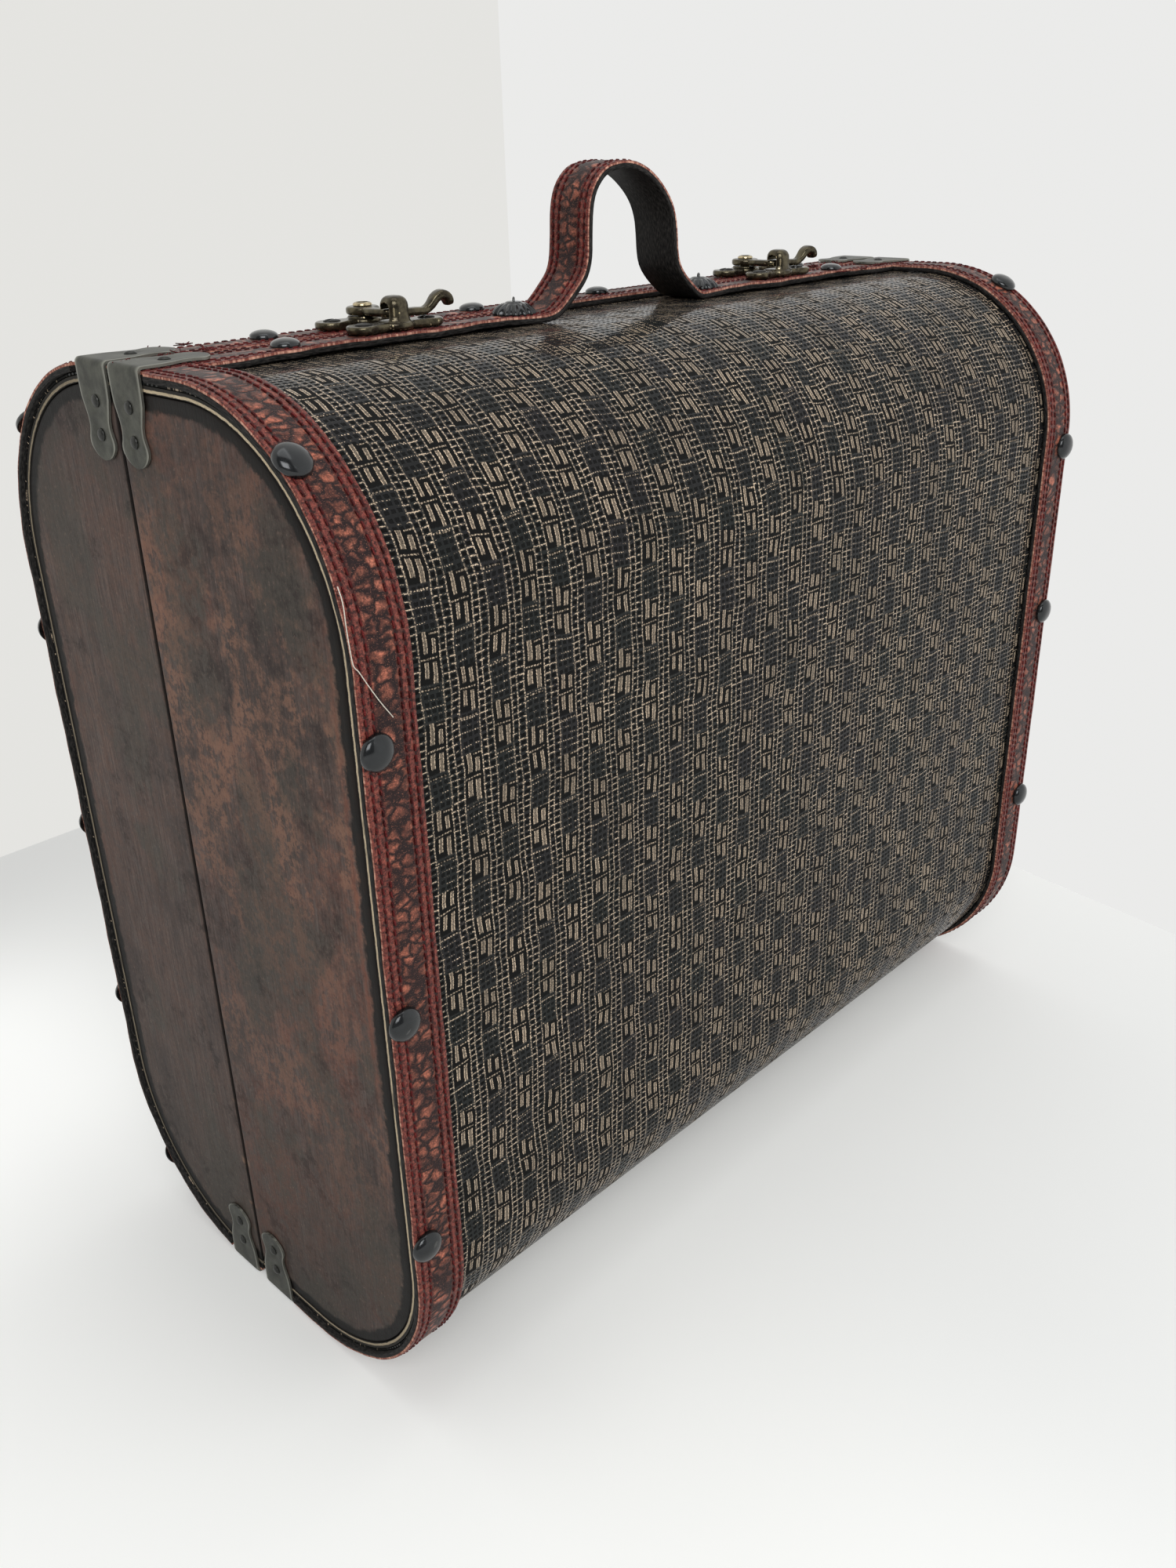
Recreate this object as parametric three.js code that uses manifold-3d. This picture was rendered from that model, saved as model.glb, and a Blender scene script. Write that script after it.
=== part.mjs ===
// A small wooden suitcase: two trays of thin bent board closed by wooden end panels, covered in embossed
// vinyl and edged with studded straps. The back tray is the lid. It turns on two butt hinges under the
// bottom seam, and two swing hooks on the lid's top strap reach under hoods on the front tray's strap.
//
// Millimetres. X runs along the width, Y from front to back, Z up. The origin is on the floor, under the
// middle of the case. While it is built, y is 0 on the seam between the trays, and z is 0 at the lowest
// line of the vinyl cover.
import * as THREE from "three";
import { mergeVertices } from "three/addons/utils/BufferGeometryUtils.js";
import Module from "manifold-3d";

// Overall sizes
const width = 390;
const height = 340;
const baseDepth = 102;
const lidDepth = 76;
const cornerRadius = 65;

// Clearances
const fit = 0.3;
const seamGap = 0.8;
const overrun = 1;
const sunk = 0.4;

// Thicknesses of the layers of the shell, from the outside in
const coverThickness = 0.6;
const skinThickness = 2;
const liningThickness = 0.6;
const panelThickness = 7;

// Wooden battens inside the seam
const battenDepth = 14;
const battenHeight = 10;

// Straps and edge strips
const strapThickness = 2.7;
const strapSeamGap = 3;
const strapWidth = 19.5;
const stripWidth = 19.5;
const stripOverhang = 1.5;

// Handle, the arch in the front tray's top strap: x and the rise of the strap's middle
const handleArch = [
  [-40.3, 0], [-36, 0.9], [-31.5, 3.6], [-26.3, 7.9], [-21.9, 12.4], [-19.8, 17.6], [-19.1, 24.5],
  [-18.6, 31.9], [-17.1, 38.3], [-14.1, 42.7], [-9.4, 46], [-3.9, 47.2], [1.2, 47.4], [6.6, 46.5],
  [12.8, 44], [19, 39.6], [23.5, 34.6], [26.2, 29], [27.1, 23.2], [27.7, 16.9], [29, 11.8],
  [32.5, 7.4], [37.4, 3.4], [41, 1], [44, 0],
];

// Ribbed domes at the handle's feet
const conchoRadius = 7.8;
const conchoHeight = 4;
const conchoRibs = 14;
const conchoRibShare = 0.06;
const conchoScrewRadius = 1.5;
const conchoScrewHeight = 1.6;
const conchoPlaces = { left: -48, right: 52 };

// Domed studs
const edgeStudRadius = 5.6;
const edgeStudHeight = 3.1;
const edgeStudInset = 3;
const edgeStudShares = { left: [0.142, 0.318, 0.509, 0.698], right: [0.105, 0.281, 0.448, 0.657] };
const lidEdgeStudShares = [0.12, 0.31, 0.5, 0.69, 0.88];
const strapStudRadius = 4.6;
const strapStudHeight = 2.3;
const lidStrapStudShares = [-0.695, -0.245, 0.089, 0.749];
const baseStrapStudShares = [-0.733, 0.733];

// Steel corner plates
const plateThickness = 0.9;
const plateWidth = 17;
const plateEndLength = 29;
const plateStrapLength = 27;
const topPlateSeamGap = 2;
const bottomPlateSeamGap = 6;
const nailRadius = 1.7;
const nailHeight = 0.8;
const endNailShares = [0.36, 0.7];
const strapNailShares = [0.5];
const plateOutlineShares = [
  [0, 1], [0.3, 0.98], [0.5, 0.84], [0.64, 0.74], [0.76, 0.78], [0.87, 0.84], [0.95, 0.66], [1, 0.26],
];

// Swing hook latches
const latchShares = { left: -0.5026, right: 0.5487 };
const latchPlateLength = 37;
const latchPlateThickness = 2.5;
const latchLobeRadius = 5.6;
const latchWaistHalfWidth = 4.1;
const latchBossRadius = 6.2;
const latchScrewRadius = 2.8;
const latchScrewHeight = 0.7;
const pivotSeamDistance = 8.5;
const pivotBossHeight = 3.2;
const rivetRadius = 2;
const rivetHeadRadius = 3.1;
const rivetHeadHeight = 1.3;
const hookThickness = 2.4;
const hookDiscRadius = 5.6;
const hookBarWidth = 4.6;
const hookReach = 8;
const hookBendShares = [[0, 0], [-0.19, 0.45], [-0.1, 0.74], [0.33, 0.92], [1, 1]];
const crookThickness = 2.9;
const crookWidth = 4.8;
const crookLine = [[0, 0], [2.6, 0], [4.9, 1.4], [6.9, 3.6], [9.1, 4.5], [11, 3.5], [11.8, 1.3]];
const keeperSeamDistance = 9.8;
const keeperShift = -1.2;
const hoodLength = 8;
const hoodDepth = 9;
const hoodHeight = 10.4;
const hoodRoof = 2.2;
const hoodWall = 2.3;
const hoodLip = 1.8;
const hoodRadius = 3.4;

// Butt hinges under the bottom seam
const hingeShares = { left: -0.564, right: 0.564 };
const hingeLength = 30;
const hingeLeafThickness = 0.8;
const hingeLeafDepth = 14;
const hingeLeafSeamDistance = 0.9;
const knuckleRadius = 1.5;
const hingePinRadius = 0.7;
const hingePinHeadRadius = 1.3;
const hingePinHeadLength = 0.9;
const hingeFloorClearance = 0.1;
const hingeWebDepth = 1.6;

// Facets
const cornerSteps = 12;
const crownSteps = 4;
const roundSteps = 20;
const handleSteps = 48;
const smallSteps = 12;
const domeSteps = 4;

// Places worked out from the sizes
const endFace = width / 2;
const seamFace = seamGap / 2;
const skinOffset = -(coverThickness + fit);
const liningOffset = skinOffset - skinThickness - fit;
const panelInner = endFace - panelThickness;
const strapTop = fit + strapThickness;
const plateTop = strapTop + fit + plateThickness;
const strapSeamFace = strapSeamGap / 2;
const strapFar = strapSeamFace + strapWidth;
const studFoot = strapTop + fit;
const strapMiddle = strapSeamFace + strapWidth / 2;
const bossRadius = Math.min(latchBossRadius, pivotSeamDistance);
const latchSpan = pivotSeamDistance + keeperSeamDistance;
const hingeAxisZ = hingeFloorClearance + knuckleRadius - plateTop;
const seamShift = (baseDepth - lidDepth) / 2;

const colours = {
  wood: [0x3a2620, 0.6, 0],
  board: [0xb59a72, 0.8, 0],
  vinyl: [0x37322c, 0.5, 0],
  lining: [0x6b4a35, 0.95, 0],
  leather: [0x7a3a2c, 0.6, 0],
  batten: [0x8a6a48, 0.8, 0],
  stud: [0x202326, 0.35, 0.9],
  steel: [0x6d7072, 0.4, 0.9],
  brass: [0x6a5f42, 0.38, 0.9],
};

const wasm = await Module();
wasm.setup();

// The same faces with only positions, and each corner stored once.
function shared(geometry) {
  geometry.deleteAttribute("normal");
  geometry.deleteAttribute("uv");
  return mergeVertices(geometry);
}

function solidFrom(geometry) {
  return new wasm.Manifold(
    new wasm.Mesh({
      numProp: 3,
      vertProperties: new Float32Array(geometry.attributes.position.array),
      triVerts: new Uint32Array(geometry.index.array),
    }),
  );
}

function geometryFrom(solid) {
  const mesh = solid.getMesh();
  const geometry = new THREE.BufferGeometry();
  geometry.setAttribute("position", new THREE.BufferAttribute(mesh.vertProperties, 3));
  geometry.setIndex(new THREE.BufferAttribute(mesh.triVerts, 1));
  return geometry;
}

function joined(...geometries) {
  return geometryFrom(geometries.map(solidFrom).reduce((whole, piece) => whole.add(piece)));
}

function cut(geometry, ...tools) {
  return geometryFrom(tools.map(solidFrom).reduce((whole, tool) => whole.subtract(tool), solidFrom(geometry)));
}

function common(first, second) {
  return geometryFrom(solidFrom(first).intersect(solidFrom(second)));
}

function extruded(points, depth) {
  const shape = new THREE.Shape(points.map(([u, v]) => new THREE.Vector2(u, v)));
  return shared(new THREE.ExtrudeGeometry(shape, { depth, bevelEnabled: false }));
}

const alongX = new THREE.Matrix4().makeBasis(
  new THREE.Vector3(0, 1, 0), new THREE.Vector3(0, 0, 1), new THREE.Vector3(1, 0, 0),
);
const alongY = new THREE.Matrix4().makeBasis(
  new THREE.Vector3(1, 0, 0), new THREE.Vector3(0, 0, 1), new THREE.Vector3(0, -1, 0),
);

// A (y, z) outline drawn out along X from x0 to x1.
function profileAlongX(points, x0, x1) {
  return extruded(points, x1 - x0).applyMatrix4(alongX).translate(x0, 0, 0);
}

// An (x, z) outline drawn out along Y from y0 to y1.
function profileAlongY(points, y0, y1) {
  return extruded(points, y1 - y0).applyMatrix4(alongY).translate(0, y1, 0);
}

function box(x0, x1, y0, y1, z0, z1) {
  return shared(new THREE.BoxGeometry(x1 - x0, y1 - y0, z1 - z0))
    .translate((x0 + x1) / 2, (y0 + y1) / 2, (z0 + z1) / 2);
}

// An upright cylinder from z0 to z1.
function post(x, y, z0, z1, radius, steps = roundSteps) {
  return shared(new THREE.CylinderGeometry(radius, radius, z1 - z0, steps))
    .rotateX(Math.PI / 2)
    .translate(x, y, (z0 + z1) / 2);
}

// A cylinder along X from x0 to x1.
function rodAlongX(x0, x1, y, z, radius) {
  return shared(new THREE.CylinderGeometry(radius, radius, x1 - x0, roundSteps))
    .rotateZ(Math.PI / 2)
    .translate((x0 + x1) / 2, y, z);
}

// A shallow dome whose flat foot lies on z = 0, with a foot sunk below it by depth.
function dome(radius, rise, depth, steps) {
  const points = [new THREE.Vector2(0, -depth), new THREE.Vector2(radius, -depth)];
  for (let i = depth > 0 ? 0 : 1; i < domeSteps; i += 1) {
    const angle = ((Math.PI / 2) * i) / domeSteps;
    points.push(new THREE.Vector2(radius * Math.cos(angle), rise * Math.sin(angle)));
  }
  points.push(new THREE.Vector2(0, rise));
  return shared(new THREE.LatheGeometry(points, steps)).rotateX(Math.PI / 2);
}

function arcPoints(y, z, radius, from, to, steps) {
  return Array.from({ length: steps + 1 }, (_, i) => {
    const angle = from + ((to - from) * i) / steps;
    return [y + radius * Math.cos(angle), z + radius * Math.sin(angle)];
  });
}

// The corner radius, which leaves the seam itself flat on a shallow tray.
function trayRadius(depth) {
  return Math.min(cornerRadius, depth - strapSeamFace);
}

// The line round one tray at a distance off the cover's outer face, from the top of the seam round the
// two corners to the bottom of the seam. It starts and ends at a distance from the seam. side is -1 for
// the front tray and 1 for the lid.
function trayLine(side, depth, offset, start) {
  const corner = trayRadius(depth);
  const radius = corner + offset;
  const arcY = depth - corner;
  const flat = start < arcY;
  const turn = flat ? Math.PI / 2 : Math.acos((start - arcY) / radius);
  const line = [
    ...(flat ? [[start, height + offset]] : []),
    ...arcPoints(arcY, height - corner, radius, turn, 0, cornerSteps),
    ...arcPoints(arcY, corner, radius, 0, -turn, cornerSteps),
    ...(flat ? [[start, -offset]] : []),
  ];
  return line.map(([y, z]) => [side * y, z]);
}

// The stretch of that line on top of the case, between two distances from the seam.
function crownLine(side, depth, offset, near, far) {
  const corner = trayRadius(depth);
  const radius = corner + offset;
  const arcY = depth - corner;
  const top = height + offset;
  const turn = Math.acos(Math.max(far - arcY, 0) / radius);
  const rest = far > arcY
    ? arcPoints(arcY, height - corner, radius, Math.PI / 2, turn, crownSteps)
    : [[far, top]];
  return [[near, top], ...rest].map(([y, z]) => [side * y, z]);
}

// A layer of a tray's wrap, between two offsets.
function layer(side, depth, outer, thickness, start, x0, x1) {
  const outside = trayLine(side, depth, outer, start);
  const inside = trayLine(side, depth, outer - thickness, start).reverse();
  return profileAlongX([...outside, ...inside], x0, x1);
}

// The place and outward direction at a share of the way round a tray at an offset.
function placeOnTray(side, depth, offset, share) {
  const line = trayLine(side, depth, offset, strapFar + fit);
  const curve = new THREE.CurvePath();
  for (let i = 1; i < line.length; i += 1) {
    curve.add(new THREE.LineCurve(new THREE.Vector2(...line[i - 1]), new THREE.Vector2(...line[i])));
  }
  const spot = curve.getPointAt(share);
  const tangent = curve.getTangentAt(share);
  return { y: spot.x, z: spot.y, normal: [-side * tangent.y, side * tangent.x] };
}

function mesh(name, geometry, look) {
  const [color, roughness, metalness] = colours[look];
  const made = new THREE.Mesh(geometry, new THREE.MeshStandardMaterial({ color, roughness, metalness }));
  made.name = name;
  return made;
}

function trayShell(group, tray, side, depth) {
  const wrapped = (offset, thickness, start, x1) => layer(side, depth, offset, thickness, start, -x1, x1);
  group.add(mesh(`${tray}_cover`, wrapped(0, coverThickness, seamFace, endFace), "vinyl"));
  group.add(mesh(`${tray}_skin`, wrapped(skinOffset, skinThickness, seamFace, endFace), "board"));
  const liningStart = seamFace + battenDepth + fit;
  const lining = wrapped(liningOffset, liningThickness, liningStart, panelInner - fit);
  group.add(mesh(`${tray}_lining`, lining, "lining"));

  const panelLine = trayLine(side, depth, liningOffset, seamFace);
  for (const [end, x0] of [["left", -endFace], ["right", panelInner]]) {
    const panel = profileAlongX(panelLine, x0, x0 + panelThickness);
    group.add(mesh(`${tray}_${end}_panel`, panel, "wood"));
  }
  const topBatten = batten(side, depth);
  const bottomBatten = batten(side, depth).rotateY(Math.PI).translate(0, 0, height);
  group.add(mesh(`${tray}_top_batten`, topBatten, "batten"));
  group.add(mesh(`${tray}_bottom_batten`, bottomBatten, "batten"));
}

// The wooden batten under the top of a tray, along its seam.
function batten(side, depth) {
  const far = seamFace + battenDepth;
  const under = height + liningOffset - battenHeight;
  const outline = [
    ...crownLine(side, depth, liningOffset, seamFace, far),
    [side * far, under],
    [side * seamFace, under],
  ];
  return profileAlongX(outline, fit - panelInner, panelInner - fit);
}

function studAt(x, side, depth, share, offset, sinking) {
  const { y, z, normal } = placeOnTray(side, depth, offset, share);
  const up = new THREE.Vector3(0, 0, 1);
  const turn = new THREE.Quaternion().setFromUnitVectors(up, new THREE.Vector3(0, normal[0], normal[1]));
  return dome(edgeStudRadius, edgeStudHeight, sinking, smallSteps)
    .applyQuaternion(turn)
    .translate(x, y, z);
}

function edgeStrip(side, depth, end) {
  const outer = endFace + stripOverhang;
  const [x0, x1] = end < 0 ? [-outer, stripWidth - outer] : [outer - stripWidth, outer];
  return layer(side, depth, strapTop, strapThickness, strapFar + fit, x0, x1);
}

function edgeStrips(base, lid) {
  const studPlace = endFace - edgeStudInset;
  for (const [end, sign] of [["left", -1], ["right", 1]]) {
    base.add(mesh(`base_${end}_edge_strip`, edgeStrip(-1, baseDepth, sign), "leather"));
    edgeStudShares[end].forEach((share, i) => {
      const stud = studAt(sign * studPlace, -1, baseDepth, share, studFoot, 0);
      base.add(mesh(`${end}_edge_stud_${i + 1}`, stud, "stud"));
    });
    const studs = lidEdgeStudShares.map((share) => (
      studAt(sign * studPlace, 1, lidDepth, share, studFoot, fit + sunk)
    ));
    const strip = joined(edgeStrip(1, lidDepth, sign), ...studs);
    lid.add(mesh(`lid_${end}_edge_strip`, strip, "leather"));
  }
}

// The middle line of the handle strap, from the left end of the case to the right.
function handleLine() {
  const z = height + fit + strapThickness / 2;
  const arch = smoothLine(handleArch, handleSteps).map(([x, rise]) => [x, z + rise]);
  return [[-endFace, z], ...arch, [endFace, z]];
}

// The outline of a band of even thickness along a middle line.
function bandOutline(line, thickness) {
  const side = (sign) => line.map(([x, y], i) => {
    const [ax, ay] = line[Math.max(i - 1, 0)];
    const [bx, by] = line[Math.min(i + 1, line.length - 1)];
    const length = Math.hypot(bx - ax, by - ay);
    const reach = (sign * thickness) / 2;
    return [x - ((by - ay) / length) * reach, y + ((bx - ax) / length) * reach];
  });
  return [...side(1), ...side(-1).reverse()];
}

// A smooth curve through some points.
function smoothLine(points, steps) {
  const curve = new THREE.CatmullRomCurve3(points.map(([u, v]) => new THREE.Vector3(u, v, 0)));
  return curve.getSpacedPoints(steps).map((p) => [p.x, p.y]);
}

// A strap along the seam on top of a tray.
function seamStrap(side, depth) {
  const outside = crownLine(side, depth, strapTop, strapSeamFace, strapFar);
  const inside = crownLine(side, depth, fit, strapSeamFace, strapFar).reverse();
  return profileAlongX([...outside, ...inside], -endFace, endFace);
}

// The same strap under the case.
function bottomSeamStrap(side, depth) {
  return seamStrap(side, depth).rotateY(Math.PI).translate(0, 0, height);
}

function topStraps(base, lid) {
  const handle = profileAlongY(bandOutline(handleLine(), strapThickness), -strapFar, -strapSeamFace);
  base.add(mesh("handle_strap", handle, "leather"));
  lid.add(mesh("lid_top_strap", seamStrap(1, lidDepth), "leather"));
  const foot = height + studFoot;
  const stud = (x, y) => dome(strapStudRadius, strapStudHeight, 0, smallSteps).translate(x, y, foot);
  lidStrapStudShares.forEach((share, i) => {
    lid.add(mesh(`lid_strap_stud_${i + 1}`, stud(share * endFace, strapMiddle), "stud"));
  });
  baseStrapStudShares.forEach((share, i) => {
    base.add(mesh(`base_strap_stud_${i + 1}`, stud(share * endFace, -strapMiddle), "stud"));
  });
}

// The bottom straps leave room for the hinges.
function bottomStraps(base, lid) {
  const notchHalf = hingeLength / 2 + hingePinHeadLength + 2 * fit;
  const notchReach = hingeLeafSeamDistance + hingeLeafDepth + fit;
  const tools = Object.values(hingeShares).map((share) => {
    const x = share * endFace;
    return box(x - notchHalf, x + notchHalf, -notchReach, notchReach, -strapTop - overrun, overrun);
  });
  lid.add(mesh("lid_bottom_strap", cut(bottomSeamStrap(1, lidDepth), ...tools), "leather"));
  base.add(mesh("base_bottom_strap", cut(bottomSeamStrap(-1, baseDepth), ...tools), "leather"));
}

// A ribbed dome with the small screw that holds it.
function concho() {
  const steps = conchoRibs * 2;
  const foot = dome(conchoRadius, conchoHeight, 0, steps);
  const place = foot.attributes.position;
  for (let i = 0; i < place.count; i += 1) {
    const angle = Math.atan2(place.getY(i), place.getX(i));
    const rib = 1 + (conchoRibShare / 2) * (Math.cos(angle * conchoRibs) - 1);
    place.setXY(i, place.getX(i) * rib, place.getY(i) * rib);
  }
  const screwTop = conchoHeight + conchoScrewHeight;
  const screw = post(0, 0, conchoHeight / 2, screwTop, conchoScrewRadius, smallSteps);
  return joined(foot, screw);
}

function conchos(base) {
  for (const [end, x] of Object.entries(conchoPlaces)) {
    const made = mesh(`${end}_concho`, concho(), "stud");
    made.position.set(x, -strapMiddle, height + studFoot);
    base.add(made);
  }
}

// One leg of a corner plate, drawn from its bend along +u, with its width across v.
function plateLeg(length, thickness) {
  const half = plateWidth / 2;
  const edge = plateOutlineShares.map(([u, v]) => [u * length, v * half]);
  const back = edge.map(([u, v]) => [u, -v]).reverse();
  return extruded([...edge, ...back], thickness);
}

// A plate bent over one end of a strap: one leg on the strap, one down the end panel. It is drawn at the
// top right corner, with z up from the cover's outer face and its width centred on y = 0.
function cornerPlate(withStrapNails) {
  const under = strapTop + fit;
  const outer = endFace + fit + plateThickness;
  const reach = plateStrapLength;
  const drop = plateEndLength;
  const strapLeg = plateLeg(reach, plateThickness).rotateZ(Math.PI).translate(outer, 0, under);
  const endLeg = plateLeg(drop, plateThickness)
    .rotateY(Math.PI / 2)
    .translate(outer - plateThickness, 0, plateTop);
  const nails = endNailShares.map((share) => (
    dome(nailRadius, nailHeight, sunk, smallSteps)
      .rotateY(Math.PI / 2)
      .translate(outer, 0, plateTop - share * drop)
  ));
  if (withStrapNails) {
    strapNailShares.forEach((share) => {
      nails.push(dome(nailRadius, nailHeight, sunk, smallSteps).translate(outer - share * reach, 0, plateTop));
    });
  }
  return joined(strapLeg, endLeg, ...nails);
}

function cornerPlates(base, lid) {
  for (const [tray, group, side] of [["base", base, -1], ["lid", lid, 1]]) {
    for (const [end, turned] of [["left", Math.PI], ["right", 0]]) {
      const topY = side * (topPlateSeamGap / 2 + plateWidth / 2);
      const top = mesh(`${tray}_${end}_top_plate`, cornerPlate(true).rotateZ(turned), "steel");
      top.position.set(0, topY, height);
      group.add(top);
      const bottomY = side * (bottomPlateSeamGap / 2 + plateWidth / 2);
      const flipped = cornerPlate(false).rotateX(Math.PI).rotateZ(turned);
      const bottom = mesh(`${tray}_${end}_bottom_plate`, flipped, "steel");
      bottom.position.set(0, bottomY, 0);
      group.add(bottom);
    }
  }
}

// The plan of a latch plate: two round lobes, a waist each side and a round middle.
function latchPlatePlan() {
  const lobeX = latchPlateLength / 2 - latchLobeRadius;
  const waistX = (lobeX + bossRadius) / 2;
  const spread = Math.PI / 2.6;
  const bossSpread = Math.PI / 3;
  const right = arcPoints(lobeX, 0, latchLobeRadius, -spread, spread, smallSteps / 2);
  const front = arcPoints(0, 0, bossRadius, Math.PI / 2 - bossSpread, Math.PI / 2 + bossSpread, smallSteps / 2);
  const turned = (points) => points.map(([x, y]) => [-x, -y]);
  const firstHalf = [...right, [waistX, latchWaistHalfWidth], ...front, [-waistX, latchWaistHalfWidth]];
  return [...firstHalf, ...turned(firstHalf)];
}

function latchPlate() {
  const plan = extruded(latchPlatePlan(), latchPlateThickness);
  const screwX = latchPlateLength / 2 - latchLobeRadius;
  const screws = [-screwX, screwX].map((x) => (
    dome(latchScrewRadius, latchScrewHeight, sunk, smallSteps).translate(x, 0, latchPlateThickness)
  ));
  return [plan, ...screws];
}

// The lid's plate, with a boss that lifts the hook over the screws and a hole for its rivet.
function pivotPlate() {
  const boss = post(0, 0, latchPlateThickness / 2, pivotBossHeight, hookDiscRadius);
  const hole = post(0, 0, -overrun, pivotBossHeight + overrun, rivetRadius + fit, smallSteps);
  return cut(joined(...latchPlate(), boss), hole);
}

function rivet() {
  const under = pivotBossHeight + fit + hookThickness + fit;
  const shank = post(0, 0, 0, under + rivetHeadHeight / 2, rivetRadius, smallSteps);
  const head = dome(rivetHeadRadius, rivetHeadHeight, 0, roundSteps).translate(0, 0, under);
  return joined(shank, head);
}

// The hook lies on its boss: a disc, a bar that bends to the right, and a crook for the finger, which
// rises from the end of the bar and turns down again.
function hook() {
  const foot = pivotBossHeight + fit;
  const disc = post(0, 0, foot, foot + hookThickness, hookDiscRadius);
  const line = smoothLine(hookBendShares.map(([u, v]) => [u * hookReach, -v * latchSpan]), roundSteps);
  const bar = extruded(bandOutline(line, hookBarWidth).reverse(), hookThickness).translate(0, 0, foot);
  const [[ax, ay], [bx, by]] = line.slice(-2);
  const heading = Math.atan2(by - ay, bx - ax);
  const crookOutline = bandOutline([[-hookBarWidth / 2, 0], ...smoothLine(crookLine, roundSteps)], crookThickness);
  const crook = profileAlongY(crookOutline.reverse(), -crookWidth / 2, crookWidth / 2)
    .rotateZ(heading)
    .translate(bx, by, foot + hookThickness / 2);
  const hole = post(0, 0, foot - overrun, foot + hookThickness + overrun, rivetRadius + fit, smallSteps);
  return cut(joined(disc, bar, crook), hole);
}

// The keeper: a plate with a hood that is open to the lid and at both ends.
function keeper() {
  const lipZ = pivotBossHeight + hookThickness + 2 * fit;
  const front = -hoodDepth / 2;
  const back = hoodDepth / 2;
  const foot = latchPlateThickness / 2;
  const roofUnder = hoodHeight - hoodRoof;
  const outline = [
    [front, foot],
    ...arcPoints(front + hoodRadius, hoodHeight - hoodRadius, hoodRadius, Math.PI, Math.PI / 2, smallSteps / 2),
    ...arcPoints(back - hoodRadius, hoodHeight - hoodRadius, hoodRadius, Math.PI / 2, 0, smallSteps / 2),
    [back, lipZ],
    [back - hoodLip, lipZ],
    [back - hoodLip, roofUnder],
    [front + hoodWall, roofUnder],
    [front + hoodWall, foot],
  ];
  const arch = profileAlongX(outline.reverse(), -hoodLength / 2, hoodLength / 2);
  const corner = hoodLength / 2 - hoodRadius;
  const deep = hoodDepth / 2 - hoodRadius;
  const plan = [
    ...arcPoints(corner, deep, hoodRadius, 0, Math.PI / 2, smallSteps / 2),
    ...arcPoints(-corner, deep, hoodRadius, Math.PI / 2, Math.PI, smallSteps / 2),
    ...arcPoints(-corner, -deep, hoodRadius, Math.PI, 1.5 * Math.PI, smallSteps / 2),
    ...arcPoints(corner, -deep, hoodRadius, 1.5 * Math.PI, 2 * Math.PI, smallSteps / 2),
  ];
  const hood = common(arch, extruded(plan, hoodHeight + overrun));
  return joined(...latchPlate(), hood);
}

function latch(base, lid, end, x) {
  const foot = height + strapTop + fit;
  const keeperMesh = mesh(`${end}_keeper`, keeper(), "brass");
  keeperMesh.position.set(x + keeperShift, -keeperSeamDistance, foot);
  base.add(keeperMesh);
  const swing = new THREE.Group();
  swing.position.set(x, pivotSeamDistance, foot);
  swing.add(mesh(`${end}_latch_plate`, pivotPlate(), "brass"));
  swing.add(mesh(`${end}_latch_rivet`, rivet(), "brass"));
  swing.add(mesh(`${end}_hook`, hook(), "brass"));
  lid.add(swing);
}

// One leaf of a hinge with its knuckles, given as [x0, x1] pairs. side is -1 for the front tray.
function hingeLeaf(side, knuckles) {
  const near = side * hingeLeafSeamDistance;
  const far = side * (hingeLeafSeamDistance + hingeLeafDepth);
  const half = hingeLength / 2;
  const leafZ = -fit - hingeLeafThickness;
  const leaf = box(-half, half, Math.min(near, far), Math.max(near, far), leafZ, -fit);
  const webNear = side * seamFace;
  const webFar = side * (seamFace + hingeWebDepth);
  const parts = knuckles.flatMap(([x0, x1]) => [
    rodAlongX(x0, x1, 0, hingeAxisZ, knuckleRadius),
    box(x0, x1, Math.min(webNear, webFar), Math.max(webNear, webFar), hingeAxisZ, -fit),
  ]);
  const bore = rodAlongX(-half - overrun, half + overrun, 0, hingeAxisZ, hingePinRadius + fit);
  return cut(joined(leaf, ...parts), bore);
}

function hinge(base, lid, end, x) {
  const half = hingeLength / 2;
  const step = hingeLength / 3;
  const middle = [[-half + step + fit / 2, half - step - fit / 2]];
  const outer = [[-half, -half + step - fit / 2], [half - step + fit / 2, half]];
  const baseLeaf = mesh(`${end}_hinge_base_leaf`, hingeLeaf(-1, middle), "steel");
  const lidLeaf = mesh(`${end}_hinge_lid_leaf`, hingeLeaf(1, outer), "steel");
  const rod = rodAlongX(-half - fit - overrun / 2, half + fit + overrun / 2, 0, hingeAxisZ, hingePinRadius);
  const heads = [-1, 1].map((sign) => {
    const inner = sign * (half + fit);
    const tip = inner + sign * hingePinHeadLength;
    return rodAlongX(Math.min(inner, tip), Math.max(inner, tip), 0, hingeAxisZ, hingePinHeadRadius);
  });
  const pin = mesh(`${end}_hinge_pin`, joined(rod, ...heads), "steel");
  for (const made of [baseLeaf, lidLeaf, pin]) made.position.x = x;
  base.add(baseLeaf, pin);
  lid.add(lidLeaf);
}

const suitcase = new THREE.Group();
const base = new THREE.Group();
const lid = new THREE.Group();
suitcase.position.set(0, seamShift, plateTop);
suitcase.add(base, lid);

trayShell(base, "base", -1, baseDepth);
trayShell(lid, "lid", 1, lidDepth);
edgeStrips(base, lid);
topStraps(base, lid);
bottomStraps(base, lid);
conchos(base);
cornerPlates(base, lid);
for (const [end, share] of Object.entries(latchShares)) latch(base, lid, end, share * endFace);
for (const [end, share] of Object.entries(hingeShares)) hinge(base, lid, end, share * endFace);

export default suitcase;
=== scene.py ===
import math

import bmesh
import bpy
import numpy as np
from mathutils import Matrix, Vector


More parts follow.
